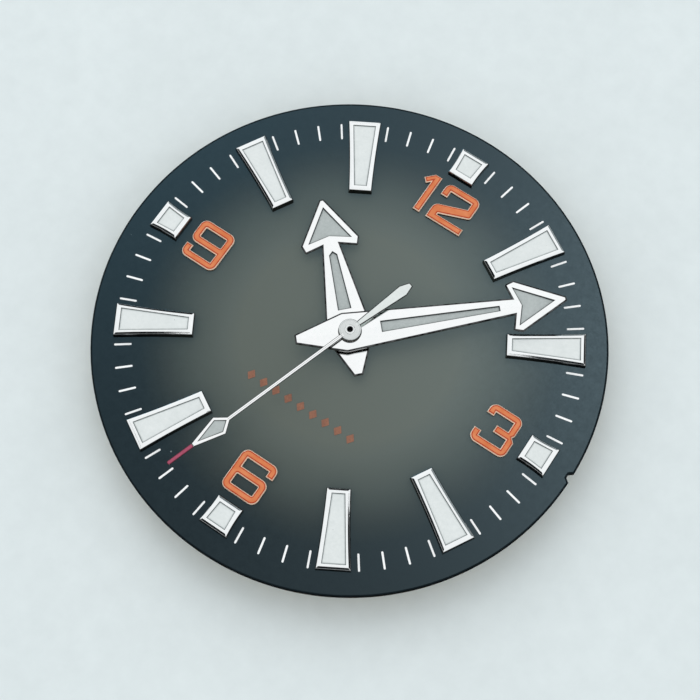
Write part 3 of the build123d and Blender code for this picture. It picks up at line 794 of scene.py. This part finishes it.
def build_dial_plate():
    """The plate with its centre hole and the blind ends of its foot holes; its back is brass."""
    work = new_work()
    edge, top = RIM_ROUNDING, DIAL_TOP
    soft = edge * ROUNDING_MIDDLE
    # The wall and a band round the rim carry the edge mark: painted shade, near black in the
    # lacquer.
    steps = (
        (edge, 0, 1.0), (0, edge, 1.0), (0, top - edge, 1.0), (soft, top - soft, 1.0),
        (edge, top, 1.0), (edge + RIM_SHADE_BAND, top, 1.0), (edge + 2 * RIM_SHADE_BAND, top, 0.0),
    )
    outlines = (outer(dial_outline()), opening(round_outline(CENTRE_HOLE_RADIUS)))
    rims = [add_steps(work, points, steps) for points in outlines]
    bottoms, tops = [rows[0] for rows in rims], [rows[-1] for rows in rims]
    holes = []
    for hour in HOURS:
        for point in marker_feet(hour):
            holes.append((clock_point(point, HOUR_ANGLE * hour), MARKER_FOOT_RADIUS))
    for name in NUMERAL_CORNERS:
        holes += [(point, NUMERAL_FOOT_RADIUS) for point in numeral_feet(name)]
    for centre, radius in holes:
        points = opening(round_outline(radius + FOOT_CLEARANCE, HOLE_STEPS, centre))
        rings = [[(x, y, z) for x, y in points] for z in (0, FOOT_HOLE_DEPTH)]
        low_row, high_row = add_rings(work, rings)
        bottoms.append(low_row)
        close_flat(work, [high_row])
    close_flat(work, bottoms)
    close_flat(work, tops)
    plate = finish_piece(
        "dial_plate_lacquered", work, "dial_plate", "dial_lacquer", dial_lacquer(), DIAL_BACK)
    for face in plate.data.polygons:
        if face.normal.z < -0.9:
            face.material_index = 1


def build_dial_feet():
    profile = [
        (0, 0), (0.62, 0), (0.65, -0.03), (0.65, -0.12), (0.62, -0.15), (0.38, -0.15),
        (0.35, -0.18), (0.35, -1.92), (0.27, -2.0), (0, -2.0),
    ]
    for number, clock in enumerate(DIAL_FOOT_CLOCKS, start=1):
        centre = clock_point((0, DIAL_FOOT_CIRCLE), clock)
        node = f"dial_foot_{number}"
        build_turned(node, "turned", "foot_copper", profile, FOOT_STEPS, centre)


# ---- hour markers

# Levels of a marker's frame: inset, bow of the long sides, height, edge mark. A steep facet
# lies below the bevel, and the window's floor closes it. The mark paints the walls and the
# lower bevel dark, as painted shade and painted reflection.
FRAME_LEVELS = (
    (0, MARKER_BOW, DIAL_TOP, 1.0),
    (0, MARKER_BOW, MARKER_WALL_TOP - 0.03, 1.0),
    (0, MARKER_BOW, MARKER_WALL_TOP, 1.0),
    (MARKER_BEVEL * 0.28, MARKER_BOW, MARKER_WALL_TOP + 0.075, 0.8),
    (MARKER_BEVEL * 0.37, MARKER_BOW, MARKER_WALL_TOP + 0.083, 0.0),
    (MARKER_BEVEL, MARKER_BOW, MARKER_LAND, 0.0),
    (MARKER_WINDOW, 0, MARKER_LAND, 0.0),
    (MARKER_WINDOW, 0, MARKER_FLOOR, 1.0),
)

# Levels of the paste in it: inset from the window, height, edge mark, which paints shade where the
# paste meets the frame
PASTE_LEVELS = (
    (FILL_GAP, MARKER_FLOOR + 0.005, 1.0), (FILL_GAP, FILL_TOP - 0.02, 1.0),
    (FILL_GAP + 0.010, FILL_TOP - 0.008, 1.0), (FILL_GAP + 0.03, FILL_TOP - 0.001, 0.8),
    (0.07, FILL_TOP, 0.3), (0.11, FILL_TOP, 0.0), (0.22, FILL_TOP, 0.0),
)


def marker_loop(sizes, inset, bow, height):
    """One level line round a marker: its long sides are sampled so that the bow stays smooth."""
    inner_end, outer_end, inner_width, outer_width = sizes
    low, high = inner_end + inset, outer_end - inset
    narrow, wide = inner_width / 2 - inset, outer_width / 2 - inset
    right = []
    for step in range(SIDE_STEPS + 1):
        share = step / SIDE_STEPS
        waist = bow * 4 * share * (1 - share)
        right.append((narrow + (wide - narrow) * share - waist, low + (high - low) * share, height))
    return right + [(-x, y, z) for x, y, z in reversed(right)]


def add_marker_levels(work, hour, levels):
    rings = [marker_loop(marker_sizes(hour), inset, bow, z) for inset, bow, z, _ in levels]
    close_ends(work, [add_rings(work, rings, [mark for *_, mark in levels])])


def build_marker_frame(hour):
    work = new_work()
    add_marker_levels(work, hour, FRAME_LEVELS)
    for place in marker_feet(hour):
        add_foot(work, MARKER_FOOT_RADIUS, 0.02, place)
    turn_to(work, HOUR_ANGLE * hour)
    node = f"index_frame_{hour:02d}"
    polish_edges(finish_piece(f"{node}_polished", work, node, "marker_chrome"))


def build_marker_fill(hour):
    """Luminous paste in a marker's window, with a soft edge down to the frame, where it carries
    painted shade.
    """
    work = new_work()
    levels = [(MARKER_WINDOW + inset, 0, height, mark) for inset, height, mark in PASTE_LEVELS]
    add_marker_levels(work, hour, levels)
    turn_to(work, HOUR_ANGLE * hour)
    node = f"index_fill_{hour:02d}"
    finish_piece(f"{node}_paste", work, node, "marker_fill")


# ---- printed marks, laid out by node trees

def open_layout(name, sizes):
    given, out = open_group("GeometryNodeTree", name, sizes, "Geometry", "NodeSocketGeometry")
    return out.id_data, given, out


def shape_node(tree, kind, inputs=(), **settings):
    return add_node(tree, "GeometryNode" + kind, inputs, **settings)[0]


def vector(tree, *parts):
    return add_node(tree, "ShaderNodeCombineXYZ", parts)[0]


def ink_layer(tree, outline, soft, steps, thickness):
    """A closed inked shape from a flat outline curve, with its corners rounded."""
    corners = {"Curve": outline, "Radius": soft, "Count": steps}
    face = shape_node(tree, "FillCurve", (shape_node(tree, "FilletCurve", corners, mode="POLY"),))
    lift = {"Mesh": face, "Offset Scale": thickness, "Individual": False}
    parts = shape_node(tree, "ExtrudeMesh", lift), shape_node(tree, "FlipFaces", (face,))
    closed = shape_node(tree, "JoinGeometry")
    for part in parts:
        tree.links.new(part, closed.node.inputs[0])
    return shape_node(tree, "MergeByDistance", {"Geometry": closed, "Distance": 1e-7})


def keep_layout(name, given, out, instances, sizes, node):
    """Ink the instances, run their tree, and keep the result as one plain mesh for its node."""
    tree = out.id_data
    real = shape_node(tree, "RealizeInstances", (instances,))
    inked = shape_node(tree, "SetMaterial", {"Geometry": real, "Material": given["Ink"]})
    tree.links.new(inked, out)
    maker = add_object(name + "_maker", bpy.data.meshes.new(name + "_maker"))
    layout = maker.modifiers.new("layout", "NODES")
    layout.node_group = tree
    for item in tree.interface.items_tree:
        if item.in_out == "INPUT":
            layout[item.identifier] = sizes[item.name]
    bpy.context.view_layer.update()
    laid_out = maker.evaluated_get(bpy.context.evaluated_depsgraph_get())
    mesh = bpy.data.meshes.new_from_object(laid_out)
    mesh.name = name
    bpy.data.objects.remove(maker)
    settle(add_object(name, mesh), [node])


def build_minute_track():
    """Ticks with rounded ends on a circle, with none where an hour marker stands."""
    sizes = {
        "Minutes": 60, "Minutes per hour": 5, "Outer radius": 12.95 * MM,
        "Tick length": 0.96 * MM, "Tick width": 0.11 * MM, "Thickness": 0.02 * MM,
        "Height": DIAL_TOP * MM, "Ink": printed_ink("white_print", "ffffff", "f2f6f6"),
    }
    tree, given, out = open_layout("minute_track", sizes)
    length, width = given["Tick length"], given["Tick width"]
    radius = reckon("SUBTRACT", given["Outer radius"], reckon("MULTIPLY", length, 0.5))
    places = shape_node(tree, "MeshCircle", {"Vertices": given["Minutes"], "Radius": radius})
    number = shape_node(tree, "InputIndex")
    left_over = reckon("MODULO", number, given["Minutes per hour"])
    is_minute = add_node(
        tree, "FunctionNodeCompare", (left_over, 0.5), data_type="FLOAT", operation="GREATER_THAN")
    bar = shape_node(tree, "CurvePrimitiveQuadrilateral", {"Width": length, "Height": width})
    tick = ink_layer(tree, bar, reckon("MULTIPLY", width, 0.499), 4, given["Thickness"])
    turn = reckon("DIVIDE", reckon("MULTIPLY", number, 2 * pi), given["Minutes"])
    placed = shape_node(tree, "InstanceOnPoints", {
        "Points": places, "Selection": is_minute["Result"], "Instance": tick,
        "Rotation": vector(tree, 0, 0, turn),
    })
    lift = {"Instances": placed, "Translation": vector(tree, 0, 0, given["Height"])}
    raised = shape_node(tree, "TranslateInstances", lift)
    keep_layout("minute_track_inked", given, out, raised, sizes, "minute_track")


def build_lozenges():
    """A level row of lozenges, centred below the dial's middle."""
    sizes = {
        "Count": 9, "Pitch": 0.81 * MM, "Lozenge width": 0.50 * MM, "Lozenge height": 0.65 * MM,
        "Distance": 4.80 * MM, "Thickness": 0.02 * MM, "Height": DIAL_TOP * MM,
        "Ink": printed_ink("copper_print", "96664f", "7c5342"),
    }
    tree, given, out = open_layout("lozenge_row", sizes)
    length = reckon("MULTIPLY", reckon("SUBTRACT", given["Count"], 1.0), given["Pitch"])
    start = reckon("MULTIPLY", length, -0.5)
    below = reckon("MULTIPLY", given["Distance"], -1.0)
    row = shape_node(tree, "MeshLine", {
        "Count": given["Count"], "Offset": vector(tree, given["Pitch"]),
        "Start Location": vector(tree, start, below, given["Height"]),
    })
    unit = shape_node(tree, "CurvePrimitiveCircle", {"Resolution": 4, "Radius": 0.5}, mode="RADIUS")
    size = vector(tree, given["Lozenge width"], given["Lozenge height"], 1.0)
    outline = shape_node(tree, "Transform", {"Geometry": unit, "Scale": size})
    soft = reckon("MULTIPLY", given["Lozenge width"], 0.06)
    lozenge = ink_layer(tree, outline, soft, 3, given["Thickness"])
    placed = shape_node(tree, "InstanceOnPoints", {"Points": row, "Instance": lozenge})
    keep_layout("lozenges_inked", given, out, placed, sizes, "printed_lozenges")


# ---- numerals

def corners(*numbers):
    return {number: NUMERAL_CORNER for number in numbers}


def numeral_outlines():
    """Each numeral's outline in its cell, and its opening's."""
    wide, high, stroke = NUMERAL_WIDTH, NUMERAL_HEIGHT, NUMERAL_STROKE
    inner, lid, middle = wide - stroke, high - stroke, high / 2
    left, flag, step = ONE_WIDTH - stroke, high - 0.49, 0.38 * sin(radians(45))
    one = [
        (left, 0), (ONE_WIDTH, 0), (ONE_WIDTH, high), (left, high), (0, flag), (step, flag - step),
        (left, flag + left - 2 * step),
    ]
    neck, hook = stroke + 0.08, high - 0.86
    rise = neck + 0.37 * inner
    two = [
        (0, 0), (wide, 0), (wide, stroke), (neck, stroke), (neck, neck), (wide, rise), (wide, high),
        (0, high), (0, hook), (stroke, hook), (stroke, lid), (inner, lid), (inner, rise + stroke),
        (0, neck + stroke),
    ]
    left, right, arm = 0.125, 2.125, wide - 1.27
    hook, foot, upper, lower = high - 0.69, 0.75, middle + stroke / 2, middle - stroke / 2
    three = [
        (0, 0), (wide, 0), (wide, middle - 0.18), (right - 0.09, middle + 0.045),
        (right, middle + 0.18), (right, high), (left, high), (left, hook), (left + stroke, hook),
        (left + stroke, lid), (right - stroke, lid), (right - stroke, upper), (arm, upper),
        (arm, lower), (inner, lower), (inner, stroke), (stroke, stroke), (stroke, foot), (0, foot),
    ]
    lobe = 1.48
    hook = lobe + 0.23
    six = [
        (0, 0), (wide, 0), (wide, lobe), (stroke, lobe), (stroke, lid), (inner, lid),
        (inner, hook), (wide, hook), (wide, high), (0, high),
    ]
    hole = [(stroke, stroke), (inner, stroke), (inner, lobe - stroke), (stroke, lobe - stroke)]
    six = [rounded(six, corners(0, 1, 2, 8, 9)), rounded(hole, {}, 0.05)]
    return {
        "one": [one], "two": [rounded(two, {5: NUMERAL_CORNER / 2, **corners(6, 7, 13)})],
        "three": [rounded(three, corners(0, 1, 5, 6))], "six": six,
        "nine": [[(wide - x, high - y) for x, y in points] for points in six],
    }


NUMERAL_OUTLINES = numeral_outlines()

# Steps of a numeral's body, and of the lacquer that fills its face: inset, height, edge mark.
# The mark paints shade on the body's walls and along the lacquer's edges.
BODY_STEPS = (
    (0, DIAL_TOP, 1.0), (0, NUMERAL_BODY_TOP - NUMERAL_EDGE - 0.02, 1.0),
    (0, NUMERAL_BODY_TOP - NUMERAL_EDGE, 0.0), (NUMERAL_EDGE, NUMERAL_BODY_TOP, 0.0),
)
FACE_STEPS = (
    (NUMERAL_EDGE, NUMERAL_BODY_TOP, 0.0), (NUMERAL_EDGE + 0.008, NUMERAL_TOP - 0.018, 0.3),
    (NUMERAL_EDGE + 0.022, NUMERAL_TOP - 0.006, 1.0),
    (NUMERAL_EDGE + 0.058, NUMERAL_TOP - 0.001, 1.0), (0.13, NUMERAL_TOP, 0.0),
)


def build_numeral(name):
    """A numeral's polished body with its bevelled edge, and the lacquer that fills its face."""
    x, y = NUMERAL_CORNERS[name]
    first, *others = [[(x + px, y + py) for px, py in points] for points in NUMERAL_OUTLINES[name]]
    outlines = [outer(first)] + [opening(points) for points in others]
    body, lacquer = new_work(), new_work()
    add_stepped(body, outlines, BODY_STEPS)
    add_stepped(lacquer, outlines, FACE_STEPS)
    for place in numeral_feet(name):
        add_foot(body, NUMERAL_FOOT_RADIUS, 0.015, place)
    node = f"numeral_{name}"
    finish_piece(f"{node}_body", body, node, "numeral_metal")
    finish_piece(f"{node}_face", lacquer, f"{node}_lacquer", "numeral_lacquer")


# ---- hands

# Arrow hands: name, clock angle, base, radius of the collet's seat, and the right-hand sides of
# the outline, which starts at the tip, and of the two openings
WIDE_HANDS = (
    ("hour", 314.7, 0.80, 0.95, [
        (0.116, 8.12), (1.66, 5.554), (1.494, 5.051), (0.510, 5.310), (1.311, -0.097),
        (0.249, -2.428),
    ], (
        [(0, 7.600), (1.200, 5.603), (0, 5.871)], [(0, 4.904), (0.211, 4.701), (0.355, 1.453)],
    )),
    ("minute", 47.0, 1.22, 0.625, [
        (0.120, 12.05), (1.50, 9.351), (1.335, 8.833), (0.480, 9.074), (1.13, -0.30),
        (0.260, -3.025),
    ], (
        [(0, 11.363), (1.085, 9.230), (0, 9.556)], [(0.135, 8.302), (0.305, 1.735)],
    )),
)

# Seconds hand: right-hand sides of the needle with its kite, of the kite's window and the tail
NEEDLE_POINTS = [(0.11, 10.52), (SECONDS_HALF_WIDTH, 8.772), (0.11, 8.165), (0.11, 0.30)]
KITE_WINDOW = [(0, 10.182), (0.391, 8.821), (0, 8.311)]
TAIL_POINTS = [(0.13, -0.30), (0.14, -0.45), (0.339, -3.681), (0.138, -4.253)]


def build_wide_hand(name, clock, base, seat, points, windows):
    """An arrow hand: polished facets beside a middle ridge, and paste in its two openings.
    Its edges and a band round its top are painted dark as shade and reflection.
    """
    corners = {number: HAND_CORNER for number in (0, 1, 2, 9, 10, 11)}
    hips = {4: HAND_HIP, 7: HAND_HIP}
    rim = outer(rounded(mirrored(points), {**corners, **hips}))
    holes = [opening(mirrored(window)) for window in windows]
    half_width = max(x for x, _ in points)
    work = new_work()
    outlines = [rim, opening(round_outline(seat))] + holes
    add_plate(work, outlines, base, base + HAND_THICKNESS, HAND_EDGE, 1.0, HAND_SHADE_BAND)
    fold_top(work, base + HAND_THICKNESS / 2, HAND_FACET_DROP / half_width)
    turn_to(work, clock)
    node = f"{name}_hand"
    steel = hand_steel(f"{node}_steel", clock, "f8fbfa", "ffffff")
    finish_piece(f"{node}_polished", work, node, "hand_steel", steel)
    build_hand_paste(node, clock, base, holes)


def build_hand_paste(node, clock, base, holes):
    """Luminous paste in a hand's openings, set down from the polished face, with painted shade
    along its edges.
    """
    work = new_work()
    steps = (
        (0.010, base, 1.0), (0.010, base + 0.055, 1.0), (0.030, base + 0.066, 0.6),
        (0.050, base + 0.070, 0.1), (0.080, base + 0.070, 0.0),
    )
    for hole in holes:
        add_stepped(work, [outer(hole)], steps)
    turn_to(work, clock)
    finish_piece(f"{node}_paste", work, f"{node}_fill", "hand_fill")


def build_seconds_hand():
    """The needle with its open kite, and the tail, in two copies of one steel, the tail's
    darker as painted shade; their edges, bands and ridge are marked as painted shade.
    """
    base, top, edge = SECONDS_BASE, SECONDS_TOP, SECONDS_EDGE
    middle = base + SECONDS_THICKNESS / 2
    window = opening(mirrored(KITE_WINDOW))
    work = new_work()
    add_plate(work, [outer(mirrored(NEEDLE_POINTS)), window], base, top, edge, 1.0, band=0.008)
    add_plate(work, [outer(mirrored(TAIL_POINTS))], base, top, edge, 1.0, band=0.030)
    fold_top(work, middle, 0.03 / SECONDS_HALF_WIDTH)
    score_ridge(work, middle, half_width=0.016, start=0.30, end=8.20, mark=0.8)
    turn_to(work, SECONDS_CLOCK)
    needle_steel = hand_steel("seconds_needle_steel", SECONDS_CLOCK, "fafcfb", "ffffff")
    hand = finish_piece(
        "seconds_hand_polished", work, "seconds_hand", "hand_steel", SHADED_TAIL_STEEL, needle_steel)
    ahead = Vector((*clock_point((0, 1), SECONDS_CLOCK), 0))
    for face in hand.data.polygons:
        face.material_index = int(face.center.dot(ahead) > 0)
    build_hand_paste("seconds_hand", SECONDS_CLOCK, base, [window])


def tip_outline(start):
    points = [(-0.108, start), (0.108, start), (0.104, 12.14), (-0.104, 12.14)]
    return outer(rounded(points, {2: 0.07, 3: 0.07}))


def build_tip_bar():
    work = new_work()
    # Its marked edges turn dark: painted shade.
    add_plate(work, [tip_outline(10.46)], SECONDS_BASE, SECONDS_TOP - 0.031, edge=0.01, mark=1.0)
    turn_to(work, SECONDS_CLOCK)
    finish_piece("seconds_hand_tip_bar", work, "seconds_hand", "hand_steel", SHADED_TAIL_STEEL)


def build_seconds_disc():
    work = new_work()
    reach, base, top = SECONDS_DISC, SECONDS_BASE, SECONDS_TOP
    # The marked rim turns grey: painted shade and painted reflection.
    add_turned(work, [
        (0.282, base + 0.004), (reach - 0.02, base + 0.004, 1.0), (reach, base + 0.025, 1.0),
        (reach, top - 0.025, 1.0), (reach - 0.010, top - 0.006, 0.8), (reach - 0.035, top + 0.006),
        (reach - 0.060, top + 0.006), (reach - 0.085, top - 0.004, 0.25),
        (reach - 0.11, top - 0.006), (0.40, top + 0.002), (0.33, top + 0.008), (0.282, top + 0.008),
    ])
    steel = seconds_disc_steel()
    finish_piece("seconds_hand_disc_turned", work, "seconds_hand", "hand_steel", steel)


def build_tip_lacquer():
    work = new_work()
    low = SECONDS_TOP - 0.030
    # Its marked edges and band turn darker: painted shade.
    add_plate(work, [tip_outline(10.53)], low, SECONDS_TOP, edge=0.014, mark=1.0, band=0.020)
    fold_top(work, low + 0.012, slope=0.05)
    turn_to(work, SECONDS_CLOCK)
    finish_piece("seconds_hand_tip_lacquered", work, "seconds_hand_tip", "tip_lacquer")


# ---- tubes, wheels and arbors

# Turned pieces: node, how it is made, slot, and closed profile
TURNED_PIECES = (
    ("seconds_hand_tube", "turned", "hub_steel", (
        (0.152, 1.42), (0.27, 1.42), (0.28, 1.43), (0.28, 1.67), (0.272, 1.70), (0.25, 1.72),
        # The marked points paint the bore dark: painted shade inside the tube.
        (0.195, 1.72), (0.170, 1.712, 0.4), (0.155, 1.70, 1.0), (0.152, 1.67, 1.0),
        (0.152, 1.59, 1.0),
    )),
    ("minute_hand_collet", "turned", "hand_collet", (
        (0.452, 1.0), (0.78, 1.0), (0.80, 1.02), (0.80, 1.20), (0.78, 1.22), (0.64, 1.22),
        (0.625, 1.235), (0.625, 1.34), (0.605, 1.36), (0.47, 1.36), (0.452, 1.345),
    )),
    ("hour_hand_collet", "turned", "hand_collet", (
        (0.752, 0.50), (1.13, 0.50), (1.15, 0.52), (1.15, 0.78), (1.13, 0.80), (0.97, 0.80),
        (0.95, 0.815), (0.95, 0.91), (0.93, 0.93), (0.77, 0.93), (0.752, 0.915),
    )),
    ("dial_washer", "pressed", "washer_brass", (
        (0.81, -0.20), (0.96, -0.20), (1.55, -0.07), (1.69, -0.07), (1.70, -0.06), (1.70, -0.03),
        (1.69, -0.02), (1.55, -0.02), (0.96, -0.15), (0.82, -0.15), (0.81, -0.16),
    )),
)

# Pieces with teeth: node, slot, teeth, their lower and upper end, bore, and profile of the rest
TOOTHED_PIECES = (
    ("hour_wheel", "wheel_brass", 40, -0.40, -0.20, 0.57, (
        (0.571, -0.398), (0.74, -0.398), (0.75, -0.20), (0.75, 0.92), (0.74, 0.93),
        (0.585, 0.93), (0.571, 0.915),
    )),
    ("cannon_pinion", "pinion_steel", 12, -0.95, -0.45, 0.22, (
        (0.221, -0.948), (0.44, -0.948), (0.45, -0.47), (0.54, -0.448), (0.54, 0.98), (0.52, 1.0),
        (0.45, 1.0), (0.45, 1.345), (0.435, 1.36), (0.235, 1.36), (0.221, 1.345),
    )),
    ("seconds_arbor", "pinion_steel", 8, -1.65, -1.15, 0, (
        (0, -1.95), (0.07, -1.95), (0.10, -1.92), (0.10, -1.648), (0.26, -1.648), (0.26, -1.152),
        (0.43, -1.15), (0.45, -1.13), (0.45, -1.02), (0.43, -1.0), (0.20, -1.0), (0.19, -0.99),
        # The marked end is painted dark: painted shade inside the seconds tube.
        (0.19, 1.41), (0.15, 1.42), (0.15, 1.585, 1.0), (0.145, 1.60, 1.0), (0.13, 1.60, 1.0),
        (0.09, 1.46, 1.0), (0, 1.40, 1.0),
    )),
)


def build_turned(node, word, slot, profile, steps=ROUND_STEPS, centre=(0, 0)):
    work = new_work()
    add_turned(work, profile, steps, centre)
    finish_piece(f"{node}_{word}", work, node, slot)


def tooth_outline(teeth, module=0.10):
    """A gear's outline: straight flanks up to the pitch circle and rounded tips above it."""
    pitch, flank = module * teeth / 2, 1.25 * module
    root, half = pitch - flank, 0.45 * pi * module / 2
    turns = [pi * (step / TOOTH_STEPS - 0.5) for step in range(1, TOOTH_STEPS)]
    profile = [(root, -half), (pitch, -half)]
    profile += [(pitch + module * cos(turn), half * sin(turn)) for turn in turns]
    profile += [(pitch, half), (root, half)]
    points = []
    for tooth in range(teeth):
        points += [clock_point(point, -360 * tooth / teeth) for point in profile]
    return outer(points)


def build_toothed(node, slot, teeth, low, high, bore, profile):
    """A gear cut on its own shaft: the toothed part and the turned part in one piece."""
    work = new_work()
    rim = [tooth_outline(teeth)]
    if bore:
        rim.append(opening(round_outline(bore)))
    add_plate(work, rim, low, high, edge=0.012)
    add_turned(work, profile)
    finish_piece(f"{node}_cut", work, node, slot)


build_dial_plate()
build_dial_feet()
for hour in HOURS:
    build_marker_frame(hour)
    build_marker_fill(hour)
build_minute_track()
build_lozenges()
for name in NUMERAL_CORNERS:
    build_numeral(name)
for sizes in WIDE_HANDS:
    build_wide_hand(*sizes)
build_seconds_hand()
build_tip_bar()
build_seconds_disc()
build_tip_lacquer()
for piece in TURNED_PIECES:
    build_turned(*piece)
for piece in TOOTHED_PIECES:
    build_toothed(*piece)


# ---- studio

FLOOR_LEVEL = cad_low.z - 0.00002
FLOOR_REACH = 0.6
ROOM_LIGHT = 0.92
ROOM_WHITE = 1.0
ROOM_DIM = 0.95

# Cards for the polished metal to mirror: first and last bearing, distance, lower and upper
# end, tone
CARDS = {
    "dark_card_near": (-152, -44, 0.30, 0.19, 0.36, "17191b"),
    "dark_card_side": (38, 50, 0.30, 0.08, 0.187, "17191b"),
    "dark_card_far": (116, 131, 0.30, 0.04, 0.115, "17191b"),
    "grey_card_far": (66, 114, 0.301, -0.002, 0.15, "969c9e"),
}

# Lamps: bearing, angle above the dial, distance, size, power, colour
MAIN_LAMP = (135, 50, 0.60, 0.50, 0.69, (1.0, 1.0, 1.0))
SHEEN_LAMPS = {
    "sheen_lamp": (75, 62, 0.50, 0.10, 21.0, (0.70, 1.0, 1.14)),
    "side_sheen_lamp": (150, 38, 0.50, 0.10, 16.8, (0.40, 1.0, 1.38)),
}

# The photograph's camera, found from the places of the ticks and the rim in it: its focal
# length, its turns, and the dial's middle as it sees it
CAMERA_LENS = 71.97
CAMERA_TURNS = ((-0.3093265, "X"), (0.0063287, "Y"), (-0.5909842, "Z"))
CAMERA_SHIFT = (-0.0090873, 0.7334841, -77.0589366)


def build_floor():
    work = bmesh.new()
    bmesh.ops.create_grid(work, x_segments=1, y_segments=1, size=FLOOR_REACH)
    bmesh.ops.translate(work, vec=(0, 0, FLOOR_LEVEL), verts=work.verts)
    material, place = start_material("floor_paper")
    colour = two_shades(grain_of(place, 900.0), SOFT, "d9e2e3", "dfe8e9")
    finish_material(material, colour, roughness=0.85, metallic=0.0, Specular_IOR_Level=0.1)
    floor = mesh_object("studio_floor", work, [material])


def build_card(name, start, end, distance, low, high, tone):
    """A curved card round the dial that only mirrors show."""
    work = bmesh.new()
    turns = [radians(start + (end - start) * step / CARD_STEPS) for step in range(CARD_STEPS + 1)]
    lower, upper = [
        [work.verts.new((*at_angle(distance, turn), height)) for turn in turns]
        for height in (low, high)
    ]
    for step in range(CARD_STEPS):
        work.faces.new((lower[step], lower[step + 1], upper[step + 1], upper[step]))
    material, place = start_material(name)
    share = remap(noise(place, 12.0, 2.0), 0.4, 0.6, 0.0, 0.3)
    colour = blend_colours(share, shade(tone), shade("3a4042"))
    finish_material(material, colour, roughness=0.9, metallic=0.0, Specular_IOR_Level=0.0)
    card = mesh_object(name, work, [material])
    card.visible_camera = card.visible_diffuse = card.visible_shadow = False


def build_world():
    """A pale room: camera and mirror rays see it white, and it lights the dial at a lower level."""
    world = bpy.data.worlds.new("studio")
    bpy.context.scene.world = world
    world.use_nodes = True
    tree = world.node_tree
    tree.nodes.clear()
    path = add_node(tree, "ShaderNodeLightPath")
    mirrored_ray = reckon("MAXIMUM", path["Is Glossy Ray"], path["Is Transmission Ray"])
    seen = reckon("MAXIMUM", path["Is Camera Ray"], mirrored_ray)
    way = add_node(tree, "ShaderNodeTexCoord")["Generated"]
    across = add_node(tree, "ShaderNodeSeparateXYZ", (way,))["Y"]
    mirrored_white = remap(across, 0.1, 0.45, ROOM_DIM, ROOM_WHITE)
    strength = add_node(tree, "ShaderNodeMix", {0: seen, 2: ROOM_LIGHT, 3: mirrored_white})[0]
    light = {"Color": (0.975, 0.99, 1.0, 1.0), "Strength": strength}
    surface = add_node(tree, "ShaderNodeBackground", light)[0]
    add_node(tree, "ShaderNodeOutputWorld", {"Surface": surface})


def build_lamp(name, bearing, height_angle, distance, size, power, colour):
    lamp = bpy.data.lights.new(name, "AREA")
    lamp.energy = power
    lamp.size = size
    lamp.color = colour
    light = add_object(name, lamp)
    turn, rise = radians(bearing), radians(height_angle)
    place = Vector((cos(turn) * cos(rise), sin(turn) * cos(rise), sin(rise))) * distance
    light.location = place
    light.rotation_euler = place.to_track_quat("Z", "Y").to_euler()
    return light


def build_sheen_lamps():
    """Two lamps whose glare only the dial plate takes, without shadows."""
    dial_only = bpy.data.collections.new("dial_only")
    dial_only.objects.link(bpy.data.objects["dial_plate_lacquered"])
    for name, sizes in SHEEN_LAMPS.items():
        lamp = build_lamp(name, *sizes)
        lamp.visible_diffuse = lamp.data.use_shadow = False
        lamp.light_linking.receiver_collection = dial_only


def build_camera():
    lens = bpy.data.cameras.new("camera")
    lens.sensor_width = 36.0
    lens.lens = CAMERA_LENS
    lens.clip_start, lens.clip_end = 0.001, 10.0
    camera = add_object("camera", lens)
    about_x, about_y, about_z = [Matrix.Rotation(turn, 3, axis) for turn, axis in CAMERA_TURNS]
    turned = (about_x @ about_y @ about_z).transposed()
    eye = -(turned @ Vector(CAMERA_SHIFT))
    eye.z += DIAL_TOP
    camera.matrix_world = Matrix.Translation(eye * MM) @ turned.to_4x4()
    bpy.context.scene.camera = camera


build_floor()
for name, sizes in CARDS.items():
    build_card(name, *sizes)
build_world()
build_lamp("main_lamp", *MAIN_LAMP).visible_glossy = False
build_sheen_lamps()
build_camera()
bpy.context.scene.view_settings.view_transform = "Standard"
